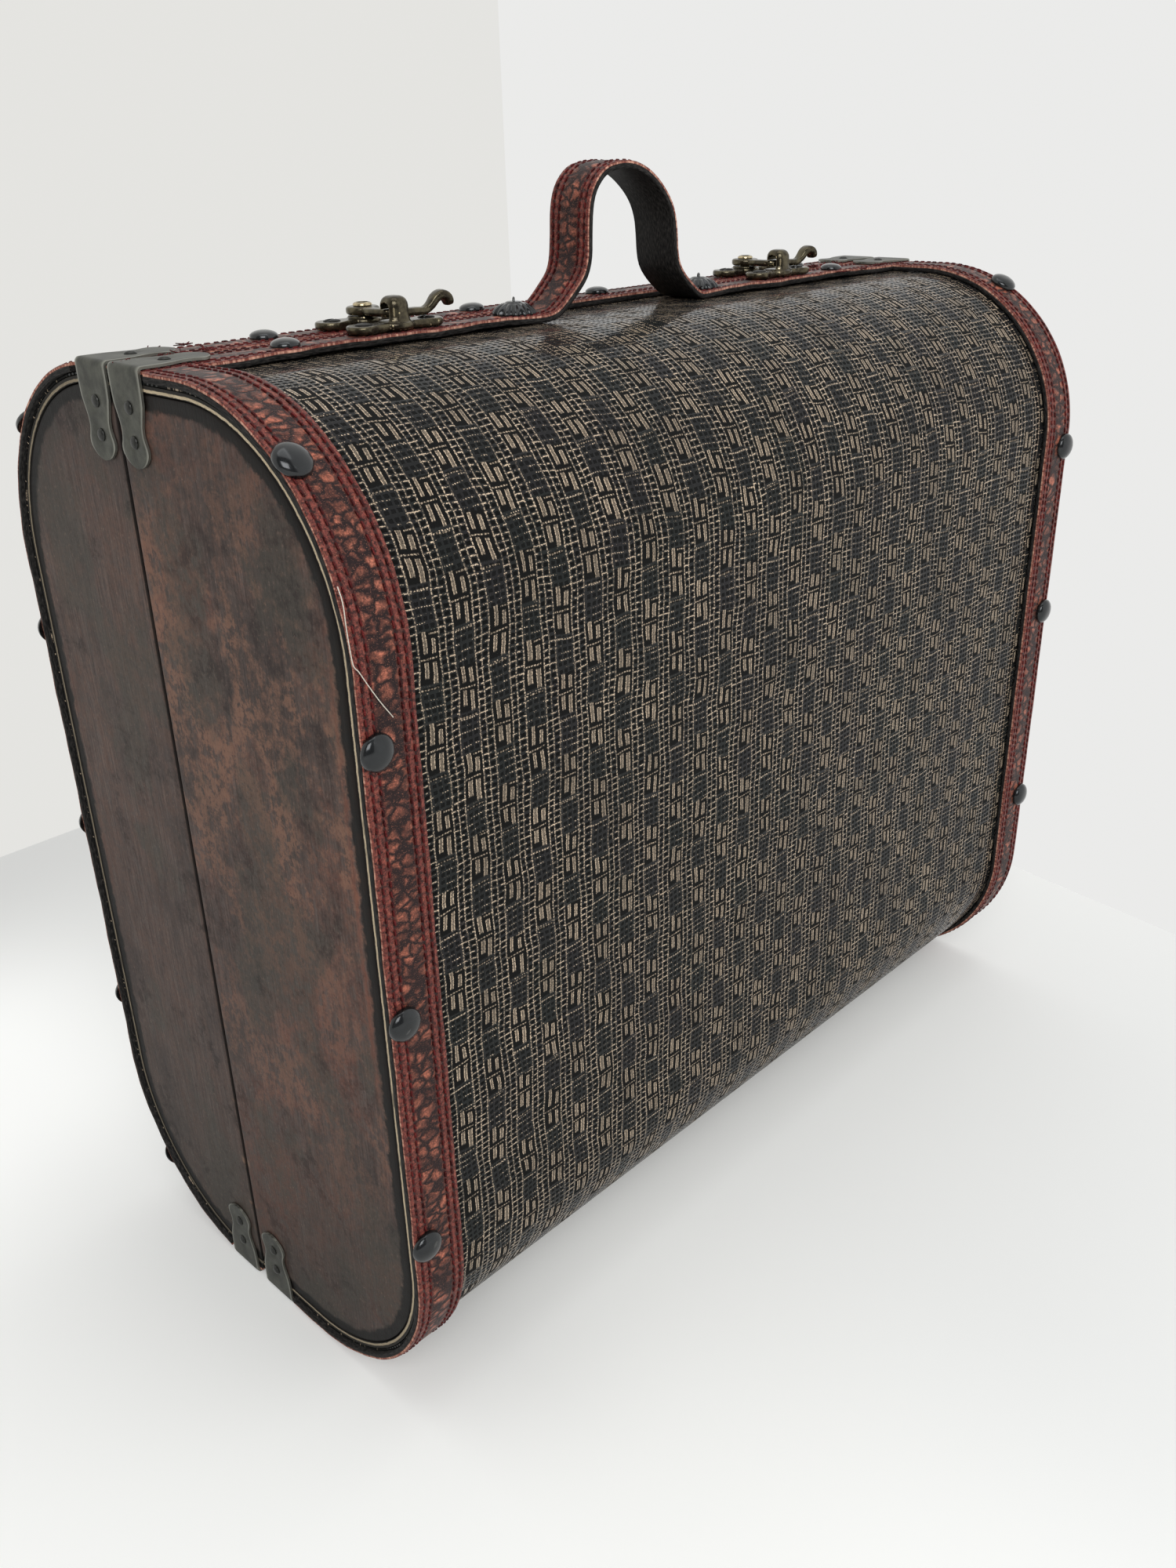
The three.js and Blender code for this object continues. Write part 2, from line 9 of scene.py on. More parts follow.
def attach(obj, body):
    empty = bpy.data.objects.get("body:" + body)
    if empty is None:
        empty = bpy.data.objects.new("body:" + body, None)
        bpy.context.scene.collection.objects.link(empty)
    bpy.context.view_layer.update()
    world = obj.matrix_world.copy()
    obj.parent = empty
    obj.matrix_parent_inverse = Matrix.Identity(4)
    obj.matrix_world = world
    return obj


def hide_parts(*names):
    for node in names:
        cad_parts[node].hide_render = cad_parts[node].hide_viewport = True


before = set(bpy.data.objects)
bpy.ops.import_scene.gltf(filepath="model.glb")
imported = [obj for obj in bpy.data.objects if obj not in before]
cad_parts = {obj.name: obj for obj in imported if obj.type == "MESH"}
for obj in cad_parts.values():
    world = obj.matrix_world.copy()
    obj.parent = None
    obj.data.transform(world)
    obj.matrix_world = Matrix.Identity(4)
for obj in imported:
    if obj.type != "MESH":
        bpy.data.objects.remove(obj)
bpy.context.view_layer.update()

# Sizes of the case in millimetres, as in the CAD model. y is 0 on the seam and z is 0 at the lowest line
# of the cover; to_row() moves points into the row frame in metres.
WIDTH = 390.0
HEIGHT = 340.0
DEPTHS = {"base": 102.0, "lid": 76.0}
SIDES = {"base": -1, "lid": 1}
ENDS = {"left": -1, "right": 1}
CORNER = 65.0
END = WIDTH / 2
SEAM = 0.4
FIT = 0.3
COVER_THICKNESS = 0.6
BOARD_THICKNESS = 2.0
PANEL_OFFSET = -(COVER_THICKNESS + FIT + BOARD_THICKNESS + FIT)
PANEL_THICKNESS = 7.0
LINING_THICKNESS = 0.5
BATTEN_DEPTH = 14.0

# Straps along the seam and strips round the ends, in two layers
BAND_WIDTH = 19.5
STRAP_NEAR = 1.5
STRAP_FAR = STRAP_NEAR + BAND_WIDTH
STRAP_MIDDLE = (STRAP_NEAR + STRAP_FAR) / 2
STRAP_TOP = 3.0
STRAP_CORE = (FIT + STRAP_TOP) / 2
BACKING_TOP = 2.0
BAND_FOOT = 0.32
STRIP_OVERHANG = 1.5
HANDLE_ARCH = [
    (-40.3, 0), (-36, 0.9), (-31.5, 3.6), (-26.3, 7.9), (-21.9, 12.4), (-19.8, 17.6), (-19.1, 24.5),
    (-18.6, 31.9), (-17.1, 38.3), (-14.1, 42.7), (-9.4, 46), (-3.9, 47.2), (1.2, 47.4), (6.6, 46.5),
    (12.8, 44), (19, 39.6), (23.5, 34.6), (26.2, 29), (27.1, 23.2), (27.7, 16.9), (29, 11.8),
    (32.5, 7.4), (37.4, 3.4), (41, 1), (44, 0),
]

# Studs as (radius, height), and their places as shares of the way along
STUD_FOOT = STRAP_TOP + FIT
STRAP_STUD = (4.6, 2.3)
EDGE_STUD = (5.6, 3.1)
EDGE_STUD_X = 192.0
EDGE_STUD_SHARES = {"left": [0.142, 0.318, 0.509, 0.698], "right": [0.105, 0.281, 0.448, 0.657]}
LID_EDGE_STUD_SHARES = [0.12, 0.31, 0.5, 0.69, 0.88]
STRAP_STUD_SHARES = {"lid": [-0.695, -0.245, 0.089, 0.749], "base": [-0.733, 0.733]}
CONCHOS = {"left": -48.0, "right": 52.0}

# Metal fittings
PLATE_THICKNESS = 0.9
PLATE_TOP = STUD_FOOT + PLATE_THICKNESS
LATCHES = {"left": -0.5026 * END, "right": 0.5487 * END}
PIVOT_Y = 8.5
KEEPER_Y = -9.8
KEEPER_SHIFT = -1.2
LATCH_PLATE = 2.5
HINGES = {"left": -110.0, "right": 110.0}
HINGE_NOTCH_HALF = 16.5
HINGE_NOTCH_REACH = 15.3

ROW_SHIFT = np.array([0.0, 13.0, 4.2])
rng = np.random.default_rng(7)


def to_row(points):
    return (np.asarray(points, float).reshape(-1, 3) + ROW_SHIFT) / 1000


def srgb(red, green, blue):
    """A colour given from 0 to 255 as linear values."""
    channels = (c / 255 for c in (red, green, blue))
    return tuple(((c + 0.055) / 1.055) ** 2.4 if c > 0.04 else c / 12.92 for c in channels) + (1.0,)


def placed(name, data):
    """A new object in the scene."""
    obj = bpy.data.objects.new(name, data)
    bpy.context.scene.collection.objects.link(obj)
    return obj


# Camera, fitted to the outline of the case

SENSOR = 36
LENS = 30.791
CAMERA_PLACE = (-0.383111, -0.358415, 0.401983)
RIGHT = (0.693469, -0.720092, -0.023833)
DOWN = (-0.327731, -0.285810, -0.900503)
FORWARD = (0.641633, 0.632281, -0.434197)
camera_data = bpy.data.cameras.new("camera")
camera_data.sensor_width = SENSOR
camera_data.lens = LENS
camera = placed("camera", camera_data)
turn = Matrix((RIGHT, [-c for c in DOWN], [-c for c in FORWARD])).transposed()
camera.matrix_world = Matrix.Translation(CAMERA_PLACE) @ turn.to_4x4()
bpy.context.scene.camera = camera


# Shader graphs

class Signal:
    """A value in a shader graph, which arithmetic turns into nodes."""

    def __init__(self, graph, socket):
        self.graph = graph
        self.socket = socket

    def __add__(self, other):
        return self.graph.math("ADD", self, other)

    def __sub__(self, other):
        return self.graph.math("SUBTRACT", self, other)

    def __rsub__(self, other):
        return self.graph.math("SUBTRACT", other, self)

    def __mul__(self, other):
        return self.graph.math("MULTIPLY", self, other)

    def floor(self):
        return self.graph.math("FLOOR", self)

    def abs(self):
        return self.graph.math("ABSOLUTE", self)

    def modulo(self, period):
        return self.graph.math("FLOORED_MODULO", self, period)

    def most(self, other):
        return self.graph.math("MAXIMUM", self, other)

    def clamped(self):
        return self.graph.math("ADD", self, 0, clamp=True)

    def wave(self, period, drift=0.0):
        """A sine along the value, from -1 to 1."""
        return self.graph.math("SINE", self * (math.tau / period) + drift)

    def spread(self, width):
        """A value from 0 to 1 moved to lie about 0, over a width."""
        return (self - 0.5) * width

    def at_least(self, low):
        """A value from 0 to 1 drawn up to run from low to 1."""
        return self * (1 - low) + low

    def rise(self, low, high):
        """0 below low, 1 above high, smooth between; it falls instead where low is above high."""
        node = self.graph.add("ShaderNodeMapRange")
        node.interpolation_type = "SMOOTHSTEP"
        self.graph.put(node.inputs[0], self)
        ends = (min(low, high), max(low, high), int(low > high), int(low < high))
        for socket, value in zip(node.inputs[1:5], ends):
            socket.default_value = value
        return Signal(self.graph, node.outputs[0])

    def near(self, centre, half, soft=0.12):
        """1 where the value is within half of centre."""
        return (self - centre).abs().rise(half + soft, half - soft)

    def within(self, low, high, soft=0.12):
        return self.near((low + high) / 2, (high - low) / 2, soft)


class Graph:
    """A material and short ways to add nodes to it. Colours of three values are given from 0 to 255."""

    def __init__(self, name):
        self.material = bpy.data.materials.new(name)
        self.material.use_nodes = True
        self.tree = self.material.node_tree
        self.shader = self.tree.nodes["Principled BSDF"]
        self.known = {}

    def add(self, kind, output=None, **inputs):
        """A new node, or one of its outputs where that is named, with some of its inputs set."""
        node = self.tree.nodes.new(kind)
        for name, value in inputs.items():
            self.put(node.inputs[name], value)
        return node if output is None else Signal(self, node.outputs[output])

    def put(self, socket, value):
        if isinstance(value, Signal):
            self.tree.links.new(value.socket, socket)
        else:
            socket.default_value = value

    def math(self, operation, *values, clamp=False):
        node = self.add("ShaderNodeMath")
        node.operation = operation
        node.use_clamp = clamp
        for socket, value in zip(node.inputs, values):
            self.put(socket, value)
        return Signal(self, node.outputs[0])

    def split(self, vector):
        node = self.add("ShaderNodeSeparateXYZ", Vector=vector)
        return [Signal(self, output) for output in node.outputs]

    def wrap(self):
        """Millimetres across a band, along it and up from the cover, kept with the mesh."""
        if "wrap" not in self.known:
            node = self.add("ShaderNodeAttribute")
            node.attribute_name = "wrap"
            self.known["wrap"] = self.split(Signal(self, node.outputs["Vector"]))
        return self.known["wrap"]

    def place(self):
        """The point in the row frame, in millimetres."""
        if "place" not in self.known:
            node = self.add("ShaderNodeVectorMath")
            node.operation = "SCALE"
            self.put(node.inputs[0], self.add("ShaderNodeTexCoord", "Object"))
            node.inputs["Scale"].default_value = 1000
            self.known["place"] = self.split(Signal(self, node.outputs[0]))
        return self.known["place"]

    def vector(self, x, y, z=0.0):
        return self.add("ShaderNodeCombineXYZ", 0, X=x, Y=y, Z=z)

    def noise(self, vector, size, detail=2.0, rough=0.5):
        """Noise from 0 to 1 whose features are about size apart."""
        inputs = {"Vector": vector, "Scale": 1 / size, "Detail": detail, "Roughness": rough}
        return self.add("ShaderNodeTexNoise", 0, **inputs)

    def specks(self, size, detail, rough=0.5):
        """Noise in space."""
        return self.noise(self.vector(*self.place()), size, detail, rough)

    def cells(self, vector, feature, output="Distance"):
        node = self.add("ShaderNodeTexVoronoi", Vector=vector, Scale=1)
        node.feature = feature
        return Signal(self, node.outputs[output])

    def chance(self, x, y, z):
        """A random value from 0 to 1 for each set of whole numbers."""
        return self.add("ShaderNodeTexWhiteNoise", "Value", Vector=self.vector(x, y, z))

    def mix(self, share, first, second):
        node = self.add("ShaderNodeMix")
        node.data_type = "RGBA"
        colours = (srgb(*c) if isinstance(c, tuple) and len(c) == 3 else c for c in (first, second))
        for socket, value in zip((node.inputs[0], *node.inputs[6:8]), (share, *colours)):
            self.put(socket, value)
        return Signal(self, node.outputs[2])

    def layers(self, colour, *coats):
        """Coats over a colour, each with its share from 0 to 1."""
        for share, coat in coats:
            colour = self.mix(share, colour, coat)
        return colour

    def convexity(self):
        """Above 0.5 on convex edges and below it in recesses."""
        return self.add("ShaderNodeNewGeometry", "Pointiness")

    def finish(self, colour, roughness, height, relief, metallic=0.0, specular=0.5, coat=0.0, coat_rough=0.2):
        """Sets the shader's inputs; height is from 0 to 1 and relief its size in millimetres."""
        sockets = {
            "Base Color": colour, "Roughness": roughness, "Metallic": metallic,
            "Specular IOR Level": specular, "Coat Weight": coat, "Coat Roughness": coat_rough,
            "Normal": self.add("ShaderNodeBump", 0, Strength=1, Distance=relief / 1000, Height=height),
        }
        for name, value in sockets.items():
            self.put(self.shader.inputs[name], value)
        return self.material


# The weave of the cover: a checker of cells, with places from a cell's middle and down from its top
CELL_X = 12.85
CELL_S = 27.0
CELL_SHIFT = 118 + CELL_X / 2
FIRST_CELL = {"base": 160.2, "lid": 134.0}
THREAD_S = 2.23
THREAD_X = CELL_X / 6
# Upright bars: middle, upper and lower end. Level bars have half of their width after the middle.
UPRIGHT_BARS = [(-1.45, -0.2, 5.9), (1.65, 2.0, 6.3), (-1.4, 8.4, 13.1), (1.6, 8.8, 14.9)]
LEVEL_BARS = [
    (-1.45, 0.7, -0.3, -0.05), (2.3, 2.0, 0.3, 0.8), (1.65, 0.6, 1.9, 2.15), (-0.35, 3.1, 7.35, 7.85),
]
# Dashed lines: middle, half of the width, place down the cell and strength
DASHED_LINES = [(-0.4, 5.0, -1.5, 0.9), (-0.6, 3.6, 16.4, 0.8)]
BEADED_LINES = [-3.85, 3.85, 6.2]
GAPS = [(5.02, 0.72), (-5.28, 0.85)]


def vinyl(tray):
    """Dark vinyl with a printed and embossed weave: a checker of cells with upright bars."""
    g = Graph(f"{tray}_vinyl")
    x, s, _ = g.wrap()
    flat = g.vector(x, s)
    shake = g.noise(flat, 0.6, 2, 0.6)
    shake_too = g.noise(g.vector(x, s + 70), 0.6, 2, 0.6)
    u = x + g.noise(flat, 22, 2).spread(4.0) + shake.spread(0.6)
    v = s + g.noise(g.vector(x + 300, s), 22, 2).spread(4.0) + shake_too.spread(0.6)

    # The cell, its own chances, and the place in it
    column = ((u + CELL_SHIFT) * (1 / CELL_X)).floor()
    across = (u + CELL_SHIFT).modulo(CELL_X) - CELL_X / 2
    down = v - FIRST_CELL[tray] - column.modulo(2) * (CELL_S / 2)
    row = (down * (1 / CELL_S)).floor()
    luck = g.chance(column, row, 1)
    luck_too = g.chance(column, row, 5)
    slim = g.chance(column, row, 9) * 0.28
    shifted = across + luck.spread(0.5)
    top = down.modulo(CELL_S) + luck_too.spread(2.4)
    lit = top.within(-0.6, 15.4, 0.3)
    inside = across.within(-3.5, 3.45)
    unlit = inside * (1 - lit)

    # Bars in the lit cells, printed along their sides
    dash = across.wave(1.1, shake.spread(5)).rise(-0.5, 0.1)
    sides = []
    cores = []
    for centre, low, high in UPRIGHT_BARS:
        reach = (shifted - centre).abs() + slim
        long = top.within(low, high, 0.25)
        sides.append(reach.near(0.74, 0.15, 0.12) * long)
        cores.append(reach.rise(0.72, 0.56) * long)
    ink = sides[0].most(sides[1]).most(sides[2]).most(sides[3])
    fill = cores[0].most(cores[1]).most(cores[2]).most(cores[3])
    for centre, half, low, high in LEVEL_BARS:
        bar = shifted.near(centre, half, 0.2) * top.within(low, high, 0.16)
        ink = ink.most(bar * (dash * 0.6 + 0.25))

    # Hollows between the threads and the bars, painted near-black as shade
    lattice = (v * (1 / THREAD_S)).modulo(1) - 0.5
    lattice_too = ((across + THREAD_X / 2) * (1 / THREAD_X)).modulo(1) - 0.5
    groove = lattice.abs().rise(0.3, 0.22)
    left_gap, right_gap = (across.near(centre, half, 0.16) for centre, half in GAPS)
    gaps = left_gap.most(right_gap) * groove
    cells = unlit * groove * lattice_too.abs().rise(0.38, 0.28)
    slots = inside * lit * (1 - ink) * (1 - fill) * top.within(-0.2, 14.9, 0.3)
    black = gaps.most(slots).most(cells * 0.65)

    # Fine printed lines and dots between the bars
    for centre, half, height, strength in DASHED_LINES:
        ink = ink.most(across.near(centre, half, 0.2) * top.near(height, 0.2, 0.14) * dash * strength)
    dots = u.wave(0.95, shake_too.spread(7)).rise(-0.1, 0.5)
    some = g.noise(g.vector(x * 0.3, s * 0.6, 80), 1, 2).rise(0.48, 0.58)
    ink = ink.most(unlit * lattice.abs().rise(0.41, 0.46) * dots * some)
    bead = v.wave(1.115, shake_too.spread(6)).rise(-0.7, 0.4)
    broken = g.noise(g.vector(x * 0.4, s * 0.14), 1, 3).rise(0.34, 0.48)
    for centre in BEADED_LINES:
        line = across.near(centre, 0.18, 0.13) * bead.at_least(0.15) * broken.at_least(0.2)
        ink = ink.most(line * (lit * 0.25 + 0.65))
    strewn = g.noise(g.vector(x * 0.6, s * 0.6, 60), 1, 2).rise(0.46, 0.54)
    ink = ink.most(lattice.abs().rise(0.4, 0.45) * (1 - inside) * strewn * 0.85)

    wear = g.noise(flat, 0.55, 3, 0.7).rise(0.4, 0.52)
    faded = (luck * 0.3 + 0.85) * g.noise(flat, 22, 3).rise(0.25, 0.6).at_least(0.75)
    paint = (ink * wear.at_least(0.2)).most(fill * (wear * 0.16 + 0.06)) * faded
    hue = g.mix(luck_too, (30, 34, 33), (37, 34, 37))
    dark = g.mix(g.noise(flat, 3, 3), (21, 23, 22), hue)
    tan = g.mix(g.noise(flat, 2.2, 2), (208, 182, 152), (248, 226, 198))
    # The hollows are painted near-black as shade over the print
    colour = g.layers(dark, (paint.clamped(), tan), (black * 0.95, (4, 4, 3)))
    pit = gaps.most(slots * 0.8).most(cells)
    height = (1 - pit) * 0.8 + ink * 0.06
    return g.finish(colour, pit * 0.8 + 0.1, height, 0.4, specular=0.16)


def leatherette():
    """Red-brown leatherette with a dark crackle and stitched edges, for bands of the strip's width."""
    g = Graph("leatherette")
    a, s, _ = g.wrap()
    flat = g.vector(a, s)
    bend = g.noise(g.vector(a * 0.8, s), 3.0, 3)
    bend_too = g.noise(g.vector(a * 0.8 + 50, s + 50), 3.0, 3)
    u = a + bend.spread(4.4)
    v = s + bend_too.spread(4.0)
    grain = g.noise(flat, 1.3, 4, 0.72)
    fleck = g.noise(flat, 0.42, 2, 0.6)

    # Light blobs between the cracks, each with its own tone
    warped = g.vector(u * 0.19, v * 0.27)
    blob = g.cells(warped, "DISTANCE_TO_EDGE").rise(0.03, 0.3)
    cell = g.split(g.cells(warped, "F1", "Color"))[0]
    small = g.cells(g.vector(u * 0.45 + 9, v * 0.6), "DISTANCE_TO_EDGE")
    zone = g.noise(g.vector(a * 0.7, s), 6.5, 3).rise(0.36, 0.6)
    light = blob * grain.rise(0.28, 0.7).at_least(0.25) * small.rise(0.0, 0.16).at_least(0.5)
    light = (light * zone.at_least(0.28) * (cell * 0.5 + 0.72)).clamped()

    # The margins outside the inner stitches, and the furrows that the stitches pull in, which are painted
    # dark as shade
    side = a.abs()
    rim = (side + bend.spread(1.6)).rise(3.6, 5.0)
    margin = g.mix(grain.rise(0.34, 0.66), (36, 17, 18), (150, 74, 64))
    furrow = side.near(7.65, 0.5, 0.35).most(side.near(4.95, 0.5, 0.35))
    ragged = g.noise(g.vector(a, s * 0.6), 1.0, 2).rise(0.36, 0.52)
    hatch = g.noise(g.vector(a * 1.4, s * 0.22), 1, 3, 0.6)
    colour = g.layers(
        g.mix(light, (32, 18, 19), (206, 122, 96)),
        (hatch.rise(0.48, 0.72) * 0.55, (44, 24, 25)),
        (rim * 0.75, margin),
        (fleck.rise(0.6, 0.7) * 0.4, (214, 144, 116)),
        (fleck.rise(0.42, 0.32) * 0.55, (34, 14, 15)),
        # painted shade in the stitch furrows
        (furrow * ragged.at_least(0.5) * 0.95, (28, 8, 9)),
    )
    height = blob * 0.5 + grain * 0.4 + fleck * 0.15 - furrow * 0.35
    return g.finish(colour, blob * -0.1 + 0.44, height, 0.35, specular=0.22)


def cut_edge():
    """The cut edge of the leatherette: pinkish cloth."""
    g = Graph("cut_edge")
    a, s, _ = g.wrap()
    spots = g.noise(g.vector(a, s), 1.3, 3, 0.7)
    colour = g.mix(spots.rise(0.38, 0.66), (120, 62, 52), (206, 158, 136))
    return g.finish(colour, 0.8, spots, 0.15, specular=0.25)


def backing():
    """The black backing of the straps, with the weave of its lower face."""
    g = Graph("backing")
    a, s, b = g.wrap()
    fibres = g.noise(g.vector(a * 2.2, s * 0.5, b * 3), 1, 3)
    colour = g.mix(fibres.rise(0.35, 0.75), (16, 16, 16), (56, 53, 51))
    height = fibres * 0.5 + g.noise(g.vector(a, s, b), 0.6, 2) * 0.4 + b.wave(0.7) * 0.15
    return g.finish(colour, 0.62, height, 0.14, specular=0.14)


def thread():
    """The dark red thread of the stitches."""
    g = Graph("thread")
    fray = g.specks(0.35, 2)
    colour = g.mix(g.specks(6, 3).rise(0.3, 0.7), (38, 9, 11), (92, 27, 27))
    colour = g.mix(fray.rise(0.5, 0.7) * 0.4, colour, (150, 62, 58))
    return g.finish(colour, 0.6, fray, 0.12, specular=0.15)


def pale_thread():
    """A stray undyed thread."""
    g = Graph("pale_thread")
    fray = g.specks(0.5, 2)
    colour = g.mix(fray, (176, 166, 150), (232, 226, 214))
    return g.finish(colour, 0.7, fray, 0.05, specular=0.3)


def end_wood(tray, warm, front):
    """Stained end panels: fine upright grain under a mottled stain, and a black rim along the curve.
    warm and front are the shares of the red stain and of the pale blots."""
    g = Graph(f"{tray}_wood")
    x, y, z = g.place()
    rim, _, _ = g.wrap()
    fine = g.noise(g.vector(y * 1.3, z * 0.06, x * 0.05), 1, 4, 0.65)
    broad = g.noise(g.vector(y * 0.3, z * 0.014, x * 0.05), 1, 3)
    cloud = g.noise(g.vector(y, z * 0.8, 20), 46, 6, 0.62)
    blot = g.noise(g.vector(y + 40, z * 0.85, 60), 24, 7, 0.72)
    dab = g.noise(g.vector(y * 0.9, z * 0.75, 90), 3.4, 5, 0.72)
    speck = g.noise(g.vector(y * 1.2, z * 0.7, 130), 1.1, 3, 0.7)
    grey = g.noise(g.vector(y + 90, z * 0.7, 10), 38, 4, 0.6)
    red = cloud.rise(0.4, 0.62) * warm * dab.rise(0.34, 0.62)
    high = z.near(245, 80, 70).most(z.near(120, 30, 50) * 0.7)
    glow = blot.rise(0.44, 0.56) * dab.rise(0.42, 0.56) * high * front

    # The painted rim with the stain's glow beside it, and the dark seam with its worn edge
    from_rim = rim + g.noise(g.vector(y, z, x * 0.02), 5, 4, 0.65).spread(4.4) + dab.spread(2.6)
    beside = from_rim.near(6.4, 1.0, 1.0) * cloud.rise(0.4, 0.55) * warm * z.rise(310, 230) * z.rise(70, 170)
    seam_y = float(ROW_SHIFT[1])
    seam_wear = y.near(seam_y, 2.6, 0.5) * g.noise(g.vector(z, 3), 7, 3).rise(0.56, 0.66) * z.rise(150, 60)
    colour = g.layers(
        g.mix(fine.rise(0.3, 0.7), (57, 48, 45), (96, 83, 77)),
        (broad.rise(0.35, 0.7) * 0.45, (78, 60, 52)),
        (cloud.rise(0.52, 0.38) * 0.55, (54, 45, 43)),
        ((red * 0.6).clamped(), (112, 70, 57)),
        ((glow * 0.6).clamped(), (142, 104, 84)),
        (grey.rise(0.48, 0.58) * 0.45, (64, 65, 58)),
        (z.rise(130, 20) * 0.4, (58, 54, 48)),
        (z.rise(296, 324) * 0.25, (48, 41, 39)),
        (blot.rise(0.48, 0.38) * dab.rise(0.42, 0.56) * 0.65, (38, 29, 28)),
        (speck.rise(0.52, 0.7) * 0.4, (38, 30, 28)),
        (speck.rise(0.42, 0.28) * 0.35, (138, 114, 100)),
        (from_rim.rise(5.4, 3.6) * 0.95, (10, 9, 8)),
        ((beside * 0.5).clamped(), (126, 74, 56)),
        (seam_wear * 0.6, (130, 100, 80)),
        (y.near(seam_y, 1.0, 0.3) * 0.88, (10, 8, 7)),
    )
    height = fine * 0.6 + speck * 0.4 + dab * 0.2
    return g.finish(colour, dab * 0.2 + 0.38, height, 0.09, specular=0.14)


def board(tray, shown):
    """The bent board: its raw edge shows beside the end panels, stained where it meets them."""
    g = Graph(f"{tray}_board")
    _, _, z = g.place()
    _, s, b = g.wrap()
    ragged = g.noise(g.vector(s, 2), 3, 4, 0.7).spread(0.8)
    pale = (b + ragged).rise(-2.75, -2.55) * (b + ragged * 0.6).rise(-1.75, -1.95)
    raw = g.mix(g.noise(g.vector(s * 0.5, b * 3), 1, 3), (150, 130, 104), (232, 216, 184))
    worn = g.noise(g.vector(s, 8), 14, 3).rise(0.3, 0.42) * z.rise(15, 90).at_least(0.3)
    colour = g.mix(pale * worn.at_least(0.4) * shown, (50, 48, 45), raw)
    return g.finish(colour, 0.7, g.specks(0.7, 3), 0.12, specular=0.12)


def lining():
    """Brown cloth with a plain weave."""
    g = Graph("lining")
    a, s, _ = g.wrap()
    flat = g.vector(a, s)
    colour = g.mix(g.noise(flat, 30, 3), (96, 58, 40), (128, 82, 58))
    height = a.wave(0.9) * s.wave(0.9) * 0.5 + g.noise(flat, 1.2, 2)
    return g.finish(colour, 0.92, height, 0.1, specular=0.2)


def plain_wood():
    """The pale battens, with their grain along the width."""
    g = Graph("plain_wood")
    x, y, z = g.place()
    grain = g.noise(g.vector(x * 0.03, y, z), 1.4, 4, 0.6)
    colour = g.mix(grain.rise(0.3, 0.7), (120, 90, 62), (176, 140, 102))
    return g.finish(colour, 0.7, grain, 0.1, specular=0.3)


def gunmetal():
    """Dark domed studs: nearly black, with a soft sheen and faint specks."""
    g = Graph("gunmetal")
    tone = g.specks(3.5, 3)
    fine = g.specks(0.5, 3, 0.7)
    wear = g.convexity().rise(0.52, 0.62) * fine
    colour = g.layers(g.mix(tone, (24, 26, 28), (48, 51, 53)), (wear * 0.4, (150, 150, 146)))
    return g.finish(colour, tone * 0.12 + 0.18, fine, 0.02, metallic=0.85, coat=0.7, coat_rough=0.12)


def steel():
    """Dull grey sheet steel with a faint mottling."""
    g = Graph("steel")
    tone = g.specks(7, 4, 0.6)
    fine = g.specks(0.6, 3, 0.6)
    colour = g.layers(
        g.mix(tone.rise(0.3, 0.7), (58, 59, 54), (93, 94, 86)),
        (fine.rise(0.5, 0.75) * 0.4, (60, 58, 53)),
        (g.convexity().rise(0.52, 0.58) * 0.5, (178, 178, 168)),
    )
    return g.finish(colour, tone * 0.16 + 0.36, fine * 0.7 + tone, 0.06, metallic=0.85)


def brass():
    """Antique cast metal, dark in its recesses and worn to brass on its edges."""
    g = Graph("brass")
    tone = g.specks(3, 4, 0.6)
    fine = g.specks(0.5, 3, 0.7)
    point = g.convexity() + fine.spread(0.02)
    colour = g.layers(
        g.mix(tone.rise(0.3, 0.7), (60, 55, 46), (104, 97, 78)),
        (point.rise(0.49, 0.45), (20, 18, 17)),
        (point.rise(0.525, 0.58) * 0.8, (226, 208, 168)),
    )
    return g.finish(colour, tone * 0.16 + 0.15, fine * 0.4 + tone * 0.6, 0.04, metallic=0.9)


def dark_screw():
    """Dark screw heads with bright edges."""
    g = Graph("dark_screw")
    fine = g.specks(0.4, 3, 0.7)
    colour = g.mix(g.convexity().rise(0.52, 0.6) * fine, (34, 33, 31), (150, 145, 130))
    return g.finish(colour, fine * 0.2 + 0.3, fine, 0.05, metallic=0.8)


def nail():
    """Blackened nail heads."""
    g = Graph("nail")
    fine = g.specks(0.6, 3, 0.7)
    colour = g.mix(fine, (38, 39, 39), (84, 84, 81))
    return g.finish(colour, fine * 0.2 + 0.24, fine, 0.03, metallic=0.9)


SHARED_LOOKS = [
    leatherette, cut_edge, backing, thread, pale_thread, lining, plain_wood, gunmetal, steel, brass,
    dark_screw, nail,
]
LOOKS = {make.__name__: make() for make in SHARED_LOOKS}
LOOKS["base_vinyl"] = vinyl("base")
LOOKS["lid_vinyl"] = vinyl("lid")
LOOKS["base_wood"] = end_wood("base", 1.0, 1.0)
LOOKS["lid_wood"] = end_wood("lid", 0.2, 0.2)
LOOKS["base_board"] = board("base", 1.0)
LOOKS["lid_board"] = board("lid", 0.45)


# Meshes

def turn_outwards(mesh):
    """Turns the faces of a mesh outwards."""
    soft = bmesh.new()
    soft.from_mesh(mesh)
    bmesh.ops.recalc_face_normals(soft, faces=soft.faces)
    soft.to_mesh(mesh)
    soft.free()


